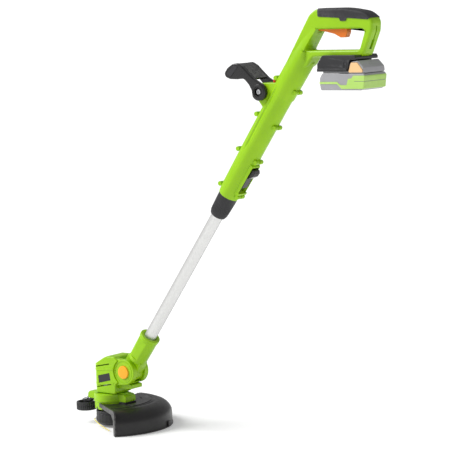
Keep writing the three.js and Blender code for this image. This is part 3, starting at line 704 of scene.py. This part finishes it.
def housing():
    plan = housingPlan
    window = plan["window"]
    shell = joined(barrel(), handleLoop(), frontBoss(), rearPanel(), *windowRim(), *screwBosses())
    cut(
        shell,
        gripBand(plan["handleHalf"] - 2.3),
        rod(plan["bore"], plan["sections"][0][0] - 5, plan["boreTop"], sides=64, place=shaftFrame),
        block(10, 40, -window["half"], window["half"], window["from"], window["to"], place=shaftFrame),
        block(577, 652, -7.5, 7.5, 800, 848),
        block(653, 688, -9.5, 9.5, 834.5, 856),
        rod(3.8, 719, 745, plan["releaseAt"]),
        rod(4.4, -30, 30, plan["frontPivot"], "Y"),
        plate([(694, 807), (687, 790), (706, 790), (716, 807)], -3.8, 3.8),
        plate([(696, 805), (718, 805), (728, 833), (702, 833)], -1.7, 1.7),
    )
    clean(shell)
    finishHalves(shell, "handle_shell")


housing()
print("housing made")


gripPlan = {"proud": 1.3, "bevel": 5.5}
gripSkinOutline = roundCorners([
    (572, 820), (572, 868.8, 14), (650, 868.8, 300), (694.8, 861.3, 60), (714.4, 846, 16), (712, 820),
], 12, 10)


def gripOvermould():
    half = housingPlan["handleHalf"]
    outer = half + gripPlan["proud"]
    skin = plate(gripSkinOutline, -outer, outer, gripPlan["bevel"], segments=6)
    common(skin, plate(gripOutline, -25, 25))
    cut(skin, plate(gripCoreOutline, 2 - half, half - 2))
    clean(skin)
    finish(skin, "soft_grip", "grip_overmould", "soft")


gripOvermould()


triggerPlan = {"half": 7, "bevel": 1.3, "pin": (582, 838), "pinHole": 2.3}


def triggerPieces():
    outline = roundCorners([
        (578.6, 841), (578.6, 827), (600, 823.5), (618, 819.5), (632, 812.5), (644, 812.5), (648.5, 822),
        (648, 838), (640, 838), (590, 842),
    ], 2.5, 4)
    body = plate(outline, -triggerPlan["half"], triggerPlan["half"], triggerPlan["bevel"])
    cut(body, rod(triggerPlan["pinHole"], -9, 9, triggerPlan["pin"], "Y"))
    finish(body, "trigger_orange", "trigger")


triggerPieces()
print("grip and trigger made")


# battery dock and pack
dockPlan = {"half": 37, "x0": 598, "ledge": (749.5, 755), "ribs": (658, 661, 664)}


def dock():
    half, x0 = dockPlan["half"], dockPlan["x0"]
    outline = roundCorners([
        (x0 - 1, 749.5), (x0 - 1, 764), (x0 + 8, 776), (x0 + 12, 780), (684, 780), (687, 776), (687, 771.3),
        (673, 771.3), (666, 749.5),
    ], 2.2, 4)
    body = plate(outline, -half, half, 0.9)
    low, high = dockPlan["ledge"]
    ledges = [block(x0 - 1, 665.6, min(a, b), max(a, b), low, high, 0.7)
              for a, b in ((-half - 1.2, -half + 3), (half + 1.2, half - 3))]
    ribs = [block(x, x + 1.1, side * half - 0.6, side * half + 0.6, 757, 770, 0.25)
            for side in (-1, 1) for x in dockPlan["ribs"]]
    joined(body, *ledges, *ribs)
    cut(
        body,
        block(x0 + 4, 800, -32.6, 32.6, 700, 765.6),
        block(x0 - 20, 720, -17.6, 17.6, 776.7, 800),
        block(x0 - 20, 620, -25, 25, 776.7, 800),
    )
    rails = [block(606, 664, min(a, b), max(a, b), 752.4, 756, 0.4) for a, b in ((31, 33), (-33, -31))]
    joined(body, *rails)
    clean(body)
    finish(body, "black_plastic", "battery_holder", name="battery_dock_moulded")


dock()


packPlan = {"x0": 601, "x1": 703, "half": 36, "z0": 714, "z1": 746, "lampWindows": (-9, 0, 9)}


def slabOutline(grow):
    plan = packPlan
    x0, x1, z0, z1 = plan["x0"], plan["x1"], plan["z0"], plan["z1"]
    top = z1 - 0.15 + 0.3 * grow
    return roundCorners([
        (x0 + 2 - grow, z0 - grow), (x0 - grow, z0 + 10), (x0 - grow, z1 - 9), (x0 + 6, top),
        (x1 + 1 + grow, top), (x1 + 3 + grow, z1 - 6), (x1 + grow, z0 + 4 - grow), (x1 - 8, z0 - grow),
    ], 3.5, 4)


def latchOutline(grow):
    return [(669 - grow, 747.5), (675, 766 + grow), (690, 766 + grow), (701 + grow, 752), (700 + grow, 747.5)]


def batteryPack():
    plan = packPlan
    x0, x1, half, z0, z1 = (plan[key] for key in ("x0", "x1", "half", "z0", "z1"))
    lower = plate(slabOutline(0), -half, half, 2.2, segments=4)
    cut(lower, block(x0 + 4, x1 - 3, -half + 3, half - 3, z0 + 3, z1 + 5))
    finish(clean(lower), "pale_grey", "battery_case_lower")
    upper = joined(
        block(x0 + 6, 672, -32, 32, z1 + 0.15, 765, 0.8),
        plate(roundCorners([(667, z1 + 0.15), (674.5, 768), (690, 770), (703, 757), (704, z1 + 0.15)], 4, 6),
              -35.4, 35.4, 2.4, segments=4),
    )
    cut(
        upper,
        block(500, 642, -13, 13, 755.8, 790),
        block(600, 672, 30.6, 40, 751.8, 756.8),
        block(600, 672, -40, -30.6, 751.8, 756.8),
        plate(latchOutline(1.2), 29, 40),
        plate(latchOutline(1.2), -40, -29),
        block(612, 660, -27, 27, z1 - 5, 753),
    )
    # three blank lamp windows on the sloping rear face
    slope = toolFrame @ Matrix.Translation((697, 0, 763.4)) @ Matrix.Rotation(math.radians(45), 4, "Y")
    for y in plan["lampWindows"]:
        cut(upper, block(-2.2, 2.2, y - 3, y + 3, -0.5, 3, 0.4, slope))
    finish(clean(upper), "pale_grey", "battery_case_upper")
    for side, word in sides:
        middle = side * 34.2
        button = plate(roundCorners(latchOutline(0.4), 2.4, 5), middle - 2.4, middle + 2.4, 1.1, segments=4)
        finish(button, "pale_orange", f"battery_latch_{word}")
    trim = plate(slabOutline(0.7), -half - 0.7, half + 0.7, 2.2, segments=4)
    band = roundCorners([
        (x0 - 2, z0 + 12), (x0 - 2, z0 + 16), (642, z0 + 16), (650, z0 + 10), (664, z0 + 10), (668, z0 + 22),
        (676, z1 - 9), (680, z1 - 4), (710, z1 - 4), (710, z0 + 3), (652, z0 + 3), (642, z0 + 12),
    ], 1, 3)
    common(trim, plate(band, -40, 40))
    cut(
        trim,
        plate(slabOutline(0.1), -half - 0.1, half + 0.1, 2.2, segments=4),
        block(590, 640, -34, 34, 700, 760),
        block(682, 720, -40, 40, 730.6, 731.6),  # shadow line across the rear panel
    )
    finish(clean(trim), "pale_green", "battery_trim")


batteryPack()
print("battery made")


# lock slider in the barrel's window
sliderPlan = {"half": 9, "bevel": 1.6, "gripLines": (545.5, 548.5, 551.5), "lineWidth": 1.1}


def lockSlider():
    outline = roundCorners([(17.2, 533), (17.2, 557), (30, 557.5), (33.5, 553), (33, 545), (26, 534)], 1.4, 4)
    body = plate(outline, -sliderPlan["half"], sliderPlan["half"], sliderPlan["bevel"], shaftFrame, 4)
    # cover strip that hides the slot below
    joined(body, block(17.1, 23.6, -8.4, 8.4, 509, 536, 0.6, shaftFrame))
    width = sliderPlan["lineWidth"]
    cut(body, *[block(31.6, 40, -6.5, 6.5, s, s + width, place=shaftFrame) for s in sliderPlan["gripLines"]])
    finish(clean(body), "gloss_black", "lock_slider")


lockSlider()


# front handle
forkPlan = {"pivot": (445, 710), "inner": 17.8, "outer": 27.5, "hub": 17.5}
beak = [
    (-16, 2), (-23, 14), (-35, 26), (-52, 24.5), (-69, 25), (-80, 29), (-83, 37), (-75, 47), (-62, 55),
    (-50, 56.5), (-38, 50), (-26, 39), (-11, 26),
]
barSection = beak[2:11] + [(-32, 38)]


def padOutline(grow):
    x, z = forkPlan["pivot"]
    return [(x + u, z + v) for u, v in (
        (-77 - grow, 36), (-59, 52 + grow), (-47 + grow, 50 + grow), (-67, 29 - grow))]


def frontFork():
    plan = forkPlan
    x, z = plan["pivot"]
    hub = arcPoints(x, z, plan["hub"], 70, -150, 26)
    outline = hub + roundCorners([hub[-1]] + [(x + u, z + v) for u, v in beak] + [hub[0]], 12, 4)[5:-5]
    arms = []
    for side in (-1, 1):
        near, far = sorted((side * plan["inner"], side * plan["outer"]))
        arm = plate(outline, near, far, 2.6, segments=4)
        outward = sorted((side * 23, side * 40))
        cut(arm, rod(9.4, *outward, plan["pivot"], "Y", sides=6))
        joined(arm, cut(rod(14.5, *sorted((side * 24, side * 28.3)), plan["pivot"], "Y", 0.8, 48),
                        rod(10.6, *sorted((side * 20, side * 40)), plan["pivot"], "Y", sides=48)))
        cut(arm, plate(roundCorners(padOutline(0.5), 3, 4), *sorted((side * 26.7, side * 40))))
        arms.append(arm)
    bar = plate(
        roundCorners([(x + u * 0.97 - 1.6, z + v * 0.97 + 1.2) for u, v in barSection], 9, 5), -22, 22, 0.8)
    web = plate([(x + u, z + v) for u, v in (
        (-38, 50), (-26, 39), (-12, 26.8), (-14.5, 23.6), (-28.5, 35.5), (-40, 45.5))], -19, 19)
    body = joined(arms[0], arms[1], bar, web)
    gap = roundCorners([(x - 44, z + 20), (x - 44, z + 36), (x - 66, z + 36), (x - 66, z + 20)], 3)
    cut(body, plate(gap, -17, 17), rod(4.4, -30, 30, plan["pivot"], "Y"))
    finish(clean(body), "gloss_black", "front_handle")
    for side, word in sides:
        middle = side * 27.5
        pad = plate(roundCorners(padOutline(0), 2.6, 5), middle - 0.8, middle + 0.8, 0.5)
        finish(pad, "soft_grip", f"front_pad_{word}", "soft")


frontFork()


def pivotFastening():
    x, z = forkPlan["pivot"]
    bolt = joined(rod(4, -23.6, 23.2, (x, z), "Y"), rod(5, -26, -23.2, (x, z), "Y", 0.5, 32))
    cut(bolt, rod(2.6, -28, -24.4, (x, z), "Y", sides=6))
    finish(bolt, "steel", "pivot_bolt", "steel")
    nut = rod(6.6, 23.5, 26.6, (x, z), "Y", 0.5, 6)
    finish(cut(nut, rod(3.4, 20, 30, (x, z), "Y")), "steel", "pivot_nut", "steel")
    button = rod(3.4, 721.5, 733, housingPlan["releaseAt"], "Z", 0.9)
    finish(button, "red_plastic", "handle_release")


pivotFastening()
print("front handle made")


# collar and tube
collarPlan = {
    "profile": [
        (12.9, 422.4), (15.2, 422), (16.4, 422.8), (18.4, 429), (18.9, 436), (19.4, 448), (20, 462),
        (20, 472), (19.4, 473.7), (15.5, 473.7), (15.5, 440), (12.9, 436),
    ],
    "ribs": 40,
    "ribDepth": 0.8,
}


def ribbed(piece, place, count, depth, low, high, inside):
    # alternate vertices pulled in, so that the outer face carries ribs
    back = place.inverted()
    for vertex in piece.data.vertices:
        spot = back @ vertex.co
        radius = math.hypot(spot.x, spot.y)
        if low < spot.z < high and radius > inside:
            wave = math.cos(count * math.atan2(spot.y, spot.x))
            pull = depth * (1 - wave) / 2
            scale = (radius - pull) / radius
            vertex.co = place @ Vector((spot.x * scale, spot.y * scale, spot.z))
    return piece


def collar():
    plan = collarPlan
    body = turned(plan["profile"], plan["ribs"] * 4, shaftFrame)
    ribbed(body, shaftFrame, plan["ribs"], plan["ribDepth"], 428, 470, 17)
    finish(body, "black_plastic", "twist_collar", "ribbed", smooth=40)


collar()


tubePlan = {
    "radius": 12.5, "wall": 1.5, "from": 42, "to": 610, "grooveHalf": 1.1, "grooveDepth": 1.7, "grooveTurn": 12,
}


def shaftTube():
    plan = tubePlan
    radius, bore = plan["radius"], plan["radius"] - plan["wall"]
    profile = [(bore, plan["from"]), (radius - 0.3, plan["from"]), (radius, plan["from"] + 0.3),
               (radius, plan["to"] - 0.3), (radius - 0.3, plan["to"]), (bore, plan["to"])]
    body = turned(profile, 96, shaftFrame)
    turn = shaftFrame @ Matrix.Rotation(math.radians(plan["grooveTurn"]), 4, "Z")
    half = plan["grooveHalf"]
    groove = block(radius - plan["grooveDepth"], radius + 3, -half, half, 97, 620, place=turn)
    cut(body, groove)
    finish(clean(body), "aluminium_tube", "shaft_tube", "drawn", smooth=25)


shaftTube()
print("collar and tube made")


# knuckle between the tube and the head
headPlan = {
    "half": 27, "earHalf": 24.5, "earRadius": 27, "tongueHalf": 12.5, "tongueRadius": 22,
    "screwStations": (50, 82),
    "slots": [(-20, 127.5, 41), (-16, 84.5, 40)],  # start, height, length
    "slotWidth": 2.4,
    "bands": [(-40, 118.6, 32, 125.6), (-40, 88.6, 32, 95.6)],  # lower edge, from and to
    "bandWidth": 3.4,
}


def knuckle():
    plan = headPlan
    tongue = plan["tongueHalf"]
    # flat sunk panel on each side, and a thin step line along its front
    panel = roundCorners([(-11, 40), (-11, 86), (13, 86), (13, 40)], 3)
    panels = []
    for near, far in ((-30, -17.6), (17.6, 30)):
        panels.append(plate(panel, near, far, 0.4, shaftFrame))
        panels.append(block(-12.6, -11.4, *sorted((near * 0.52, near * 1.2)), 40, 86, place=shaftFrame))
    outer = joined(
        rod(plan["tongueRadius"], -tongue, tongue, along="Y", bevel=1.2, sides=64, place=shaftFrame),
        block(-19.5, 19.5, -tongue, tongue, 0, 36, 3, shaftFrame),
        rod(19.4, 30, 92, sides=64, place=shaftFrame, topRadius=20.4, bevel=2.5),
        rod(21.6, 88.5, 97, bevel=1.6, sides=64, place=shaftFrame),
    )
    cut(
        outer,
        rod(12.8, 41.7, 120, sides=64, place=shaftFrame),
        rod(15.4, 95.4, 120, sides=64, place=shaftFrame),
        rod(4.3, -30, 30, along="Y", place=shaftFrame),
        *[rod(1.9, -8, 8, (-16, station), "Y", place=shaftFrame) for station in plan["screwStations"]],
        *panels,
    )
    clean(outer)
    finishHalves(outer, "knuckle")


knuckle()


# motor head
def labelOutline(grow):
    return [
        (-11 - grow, 110 + grow), (20 + grow, 117.5 + grow),
        (23 + grow, 102.5 - grow), (-10 - grow, 94.5 - grow),
    ]


def airSlots():
    made = []
    width = headPlan["slotWidth"]
    for x0, z0, length in headPlan["slots"]:
        x1, z1 = x0 + length, z0 + 0.2 * length
        outline = roundCorners([(x0, z0), (x1, z1), (x1, z1 + width), (x0, z0 + width)], 1, 3)
        made += [plate(outline, -40, -15), plate(outline, 15, 40)]
    return made


def headPlanOutline(grow):
    half = headPlan["half"] + grow
    return roundCorners([
        (48, -half), (-16, -half), (-26 - grow, -18), (-31 - grow, 0), (-26 - grow, 18), (-16, half),
        (48, half),
    ], 6, 8)


def cheekRibs():
    # raised bands that run slanting round the front and both cheeks
    made = []
    width = headPlan["bandWidth"]
    for x0, z0, x1, z1 in headPlan["bands"]:
        band = plate(roundCorners([(x0, z0), (x1, z1), (x1, z1 + width), (x0, z0 + width)], 1.4, 3), -40, 40)
        made.append(common(band, planPlate(headPlanOutline(0.9), 60, 180)))
    return made


def motorHead():
    plan = headPlan
    half, ear, earHalf, tongue = plan["half"], plan["earRadius"], plan["earHalf"], plan["tongueHalf"]
    pivot = (tiltPivot[0], tiltPivot[2])
    side = roundCorners([
        (-36, 73), (-36, 127), (-20, 135), (4, 149), (14, 153), (34, 153), (44, 146), (44, 100), (36, 92),
        (36, 73),
    ], 7, 5)
    cheek = half + 0.2
    top = headPlanOutline(0)
    body = common(plate(side, -cheek, cheek, 3.2, segments=5), planPlate(top, 60, 180))
    floor = earHalf - 0.4
    cut(body, rod(ear + 0.6, -40, -floor, pivot, "Y", sides=72),
        rod(ear + 0.6, floor, 40, pivot, "Y", sides=72))
    joined(
        body,
        rod(ear, -earHalf, earHalf, pivot, "Y", 1.4, 72),
        plate(roundCorners([(30, 92), (30, 150), (52, 148), (60, 95)], 4), -earHalf + 0.5, earHalf - 0.5, 1),
        plate(roundCorners([(30, 84), (30, 93), (60, 96), (73, 94), (73, 86)], 1.8, 4), -16.5, 16.5, 0.9),
        *cheekRibs(),
    )
    ring = [cut(rod(23, *span, pivot, "Y", sides=72), rod(21.8, -50, 50, pivot, "Y", sides=72))
            for span in ((-40, -earHalf + 0.7), (earHalf - 0.7, 40))]
    cut(
        body,
        *ring,
        rod(20.5, 72, 129, sides=48),
        rod(plan["tongueRadius"] + 1.2, -tongue - 0.3, tongue + 0.3, pivot, "Y", sides=64),
        plate([pivot, (41, 136), (34, 165), (120, 165), (120, 96), (66, 101)], -tongue - 0.2, tongue + 0.2),
        rod(14.2, -40, -tongue, pivot, "Y", sides=64),
        rod(4.3, 0, 20.4, pivot, "Y"),
        plate(labelOutline(0.4), -half - 5, -half + 1),
        *airSlots(),
    )
    clean(body)
    finishHalves(body, "motor_housing")
    label = plate(roundCorners(labelOutline(0), 1.2, 4), -half + 0.1, -half + 0.7, 0.15)
    finish(label, "label_black", "side_label", "blank")


motorHead()


def tiltButton():
    z = headPlan["earHalf"]
    facing = toolFrame @ Matrix.Translation(tiltPivot) @ Matrix.Rotation(math.radians(90), 4, "X")
    profile = [
        (4.5, 16.3), (13.8, 16.3), (13.8, z + 2), (13.2, z + 3), (11.6, z + 3.4), (0, z + 3.9), (0, 21.5),
        (4.5, 21.5),
    ]
    finish(turned(profile, 64, facing), "button_orange", "tilt_button", smooth=45)


tiltButton()
print("head made")


basePlan = {"radius": 38, "low": 55, "high": 72, "teeth": 12}


def headBase():
    radius, low, high = basePlan["radius"], basePlan["low"], basePlan["high"]
    ring = turned([
        (11.8, 54), (32.5, 54), (32.5, 39.4), (33.4, 38.6), (35.4, 38.6), (36, 39.4), (36, low),
        (radius - 0.6, low), (radius, low + 0.7), (radius, low + 3.4), (radius - 1, low + 4),
        (radius - 1, high - 3), (radius - 1.8, high - 0.8), (radius - 3.6, high), (11.8, high),
    ], 96)
    rear = roundCorners([(20, low), (20, high), (48, high - 1), (54, high - 6), (54, low)], 2.4, 4)
    front = roundCorners([(-20, low), (-20, high), (-55, high - 2), (-60, high - 7), (-60, low)], 2.4, 4)
    lugs = [plate(rear, -16, 16, 1.3), plate(front, -9, 9, 1.1)]
    joined(ring, *lugs, block(24, 46, -11, 11, high - 3, high + 1.6, 1.2))
    notches = []
    for i in range(basePlan["teeth"]):
        turn = toolFrame @ Matrix.Rotation(2 * math.pi * i / basePlan["teeth"] + 0.2, 4, "Z")
        notches.append(block(31, 40, -3.5, 3.5, 36, 44, place=turn))
    cut(ring, *notches, rod(1.9, 50, 66, (45, 0)), rod(3.2, 50, 66, (-50, 0)))
    finish(clean(ring), "lime_plastic", "head_base")


headBase()


# guard
guardPlan = {
    "radius": 127, "flat": 101, "top": 52, "crease": 33, "wall": 3, "lip": 1.2, "steps": 128,
    "nearEdge": 46.5, "farEdge": 93, "ribAngles": (-22, 12, 46, 78), "stopAngle": 18.6,
}


def guardWedge():
    plan = guardPlan
    near, back, far = math.radians(plan["nearEdge"]), math.radians(plan["farEdge"]), 200
    x, y = plan["radius"] * math.cos(near), -plan["radius"] * math.sin(near)
    outline = [
        (-2, -38), (x, y), (x + 60, y - 60), (far, -far), (far, far), (0, far),
        (far * math.cos(back), far * math.sin(back)), (-3, 36), (12, 0),
    ]
    return planPlate(outline, -10, 100)


def guard():
    plan = guardPlan
    radius, flat, top, crease, wall, lip = (
        plan[key] for key in ("radius", "flat", "top", "crease", "wall", "lip"))
    hood = turned([
        (38.6, top - wall), (flat - 2, top - wall), (flat + 3, top - wall - 2.4), (radius - 8, crease - 1),
        (radius - wall - 0.6, crease - 6), (radius - wall, crease - 10), (radius - wall, 0),
        (radius + lip, 0), (radius + lip, 2.4), (radius, 3), (radius, crease - 9), (radius - 0.7, crease - 3),
        (radius - 2.6, crease + 2), (radius - 5.6, crease + 6.4), (radius - 9.6, crease + 10.6),
        (radius - 14.6, crease + 14.2), (flat + 5, top - 2.4), (flat, top - 0.6), (flat - 4, top),
        (flat - 10, top), (flat - 11, top + 0.9), (flat - 14, top + 0.9), (flat - 15, top), (38.6, top),
    ], plan["steps"])
    common(hood, guardWedge())
    # thickened edge along the open near side
    bead = turned([
        (38.9, top - 7), (flat + 6, top - 9), (radius - 8, top - 20), (radius - 8, 0.3), (radius + 1.4, 0.3),
        (radius + 1.4, top - 8), (radius + 0.4, top - 3.4), (radius - 2, top - 0.6), (radius - 5, top + 0.9),
        (radius - 9, top + 1.3), (38.9, top + 1.3),
    ], plan["steps"])
    near = math.radians(plan["nearEdge"])
    start, end = Vector((-2, -38)), Vector((radius * math.cos(near), -radius * math.sin(near)))
    along = (end - start).normalized()
    side = Vector((-along.y, along.x))
    reach = end + along * 12
    strip = [start - side * 0.4, reach - side * 0.4, reach + side * 2.6, start + side * 2.6]
    common(bead, planPlate([(p.x, p.y) for p in strip], -10, 100))
    # raised panel on the top, and a small stop block on the rim
    ridge = [(64, top - 1), (84, top - 1), (84, top + 0.8), (83, top + 1.6), (65, top + 1.6), (64, top + 0.8)]
    area = [(0, -8), (150, -40), (150, 110), (40, 110), (18, 24)]
    panel = common(turned(ridge, 96), planPlate(area, 40, 70))
    stopTurn = toolFrame @ Matrix.Rotation(math.radians(plan["stopAngle"]), 4, "Z")
    stop = block(radius - 1, radius + 3.4, -6, 6, 1.5, 13, 0.9, stopTurn)
    tab = cut(block(20, 54, -17, 17, top - wall + 0.6, top + 2.6, 0.9), rod(39.3, 0, 90, sides=96))
    ribs = [
        common(
            block(45, radius - 10, -1, 1, crease - 2, top - 1,
                  place=toolFrame @ Matrix.Rotation(math.radians(angle), 4, "Z")),
            turned([(40, 20), (radius - 7.6, 20), (radius - 7.6, crease - 3.5), (flat + 2, top - wall + 0.5),
                    (40, top - wall + 0.5)], 96),
        )
        for angle in plan["ribAngles"]
    ]
    joined(hood, bead, panel, stop, tab, *ribs)
    cut(hood, rod(2.6, 30, 70, (45, 0)))
    finish(clean(hood), "guard_plastic", "guard", smooth=28)


guard()
print("base and guard made")


# spool cap, eyelets and edge wheel
capPlan = {"radius": 34, "low": 3, "high": 34, "grips": 24, "eyeHeight": 16, "eyeAngle": -48.5}


def spoolCap():
    radius, low, high = capPlan["radius"], capPlan["low"], capPlan["high"]
    cup = turned([
        (0, low), (13, low), (14.5, low + 0.8), (19, low + 0.8), (20.5, low), (27, low + 0.8),
        (29.4, low + 2.2), (radius - 0.8, low + 7), (radius, low + 9), (radius, high - 6.4),
        (radius - 0.8, high - 5.8), (radius - 0.8, high - 4.8), (radius, high - 4.2), (radius, high - 0.6),
        (radius - 0.6, high), (radius - 3, high), (radius - 3, low + 9), (27.5, low + 5.5), (0, low + 5.5),
    ], capPlan["grips"] * 4)
    ribbed(cup, toolFrame, capPlan["grips"], 0.7, low + 5, high - 6, radius - 1.6)
    eyeTurn = toolFrame @ Matrix.Translation((0, 0, capPlan["eyeHeight"]))
    eyeTurn = eyeTurn @ Matrix.Rotation(math.radians(capPlan["eyeAngle"]), 4, "Z")
    cut(cup, rod(3.3, -40, 40, along="Y", place=eyeTurn, sides=32))
    finish(clean(cup), "black_plastic", "spool_cap", smooth=40)
    profile = [
        (1.5, 30.5), (3, 30.5), (3, 34.4), (3.9, 34.4), (4, 34.8), (3.7, 35.5), (2.6, 35.9), (1.9, 35.6),
        (1.5, 34.8),
    ]
    for side, word in sides:
        facing = eyeTurn @ Matrix.Rotation(math.radians(90 if side < 0 else -90), 4, "X")
        finish(turned(profile, 40, facing), "steel", f"eyelet_{word}", "steel", smooth=50)


spoolCap()


wheelPlan = {"x": -73, "radius": 22, "low": 27, "high": 45, "treads": 30}


def edgeWheel():
    plan = wheelPlan
    radius, low, high = plan["radius"], plan["low"], plan["high"]
    spot = toolFrame @ Matrix.Translation((plan["x"], 0, 0))
    tyre = turned([
        (4, low), (radius - 3, low), (radius - 1.2, low + 0.5), (radius, low + 2), (radius, low + 8.4),
        (radius - 0.7, low + 9), (radius, low + 9.6), (radius, high - 2), (radius - 0.8, high - 0.4),
        (radius - 2.4, high), (radius - 4, high - 0.4), (radius - 5.6, high - 3), (radius - 6.2, low + 6),
        (8, low + 6), (8, high - 4.4), (7.4, high - 4), (4, high - 4),
    ], plan["treads"] * 4, spot)
    ribbed(tyre, spot, plan["treads"], 0.9, low + 1, high - 1, radius - 0.9)
    finish(tyre, "black_plastic", "edge_wheel", smooth=35)


edgeWheel()
print("spool and wheel made")


# plain solids that only want rounded corners and a surface
refinedPieces = {  # surface and corner width, in metres
    "wheel_arm": ("black_plastic", 0.0005),
    "wheel_axle": ("steel", 0.0003),
    "wheel_clip": ("steel", 0.0002),
    "bracket_screw": ("steel", 0.0003),
    "guard_screw": ("steel", 0.0003),
    "line_cutter": ("steel", 0.0002),
    "latch_plate": ("steel", 0.0002),
    "switch_body": ("black_plastic", 0.0006),
    "terminal_block": ("black_plastic", 0.0002),
}
for node, (material, width) in refinedPieces.items():
    refined(node, material, width)


# surfaces of the solids that stay as they are
keptNodes = {
    "steel": [
        "shell_screw_1", "shell_screw_2", "shell_screw_3", "shell_screw_4", "trigger_pin", "trigger_spring",
        "knuckle_screw_lower", "knuckle_screw_upper", "tilt_pin", "tilt_spring", "motor_shaft", "spool_spring",
    ],
    "motor_steel": ["motor_can"],
    "black_plastic": ["collet", "guide_bush", "spool"],
    "wound_line": ["wound_line"],
    "cell_sleeve": ["battery_cells"],
}
for material, nodes in keptNodes.items():
    for node in nodes:
        solid = frame["nodes"][node]
        solid.data.materials.clear()
        solid.data.materials.append(materials[material])


# floor, light and picture settings
stagePlan = {
    "floor": -0.6, "size": 400, "glow": 0.18, "world": 0.42,
    "sun": 3.1, "sunFrom": (-0.85, -0.62, 0.9), "sunSoft": 38,
    "side": 5, "sidePlace": (1.2, -3.2, 1.2), "sideAim": (-0.35, 0, -0.45), "sideWidth": 1.2,
}


def stage():
    deselect()
    low = toolFrame @ Vector((0, 0, stagePlan["floor"]))
    bpy.ops.mesh.primitive_plane_add(size=stagePlan["size"], location=(0, 0, low.z))
    floor = bpy.context.object
    floor.name = "floor"
    material, tree, shader = newMaterial("floor_paper")
    shader.inputs["Base Color"].default_value = (0.93, 0.93, 0.93, 1)
    shader.inputs["Roughness"].default_value = 0.9
    shader.inputs["Specular IOR Level"].default_value = 0.1
    shader.inputs["Emission Color"].default_value = (1, 1, 1, 1)
    shader.inputs["Emission Strength"].default_value = stagePlan["glow"]
    floor.data.materials.append(material)
    bpy.ops.object.light_add(type="AREA", location=stagePlan["sidePlace"])
    light = bpy.context.object
    light.name = "side_light"
    aim = Vector(stagePlan["sideAim"]) - Vector(stagePlan["sidePlace"])
    light.rotation_euler = aim.to_track_quat("-Z", "Y").to_euler()
    light.data.size = stagePlan["sideWidth"]
    light.data.energy = stagePlan["side"]
    bpy.ops.object.light_add(type="SUN", location=(0, -2, 3))
    sun = bpy.context.object
    sun.name = "sun_light"
    sun.rotation_euler = Vector(stagePlan["sunFrom"]).to_track_quat("Z", "Y").to_euler()
    sun.data.energy = stagePlan["sun"]
    sun.data.angle = math.radians(stagePlan["sunSoft"])
    world = bpy.data.worlds.new("studio")
    world.use_nodes = True
    sky = world.node_tree.nodes["Background"]
    sky.inputs["Color"].default_value = (1, 1, 1, 1)
    sky.inputs["Strength"].default_value = stagePlan["world"]
    bpy.context.scene.world = world
    bpy.context.scene.view_settings.view_transform = "Standard"


stage()
print("stage set")
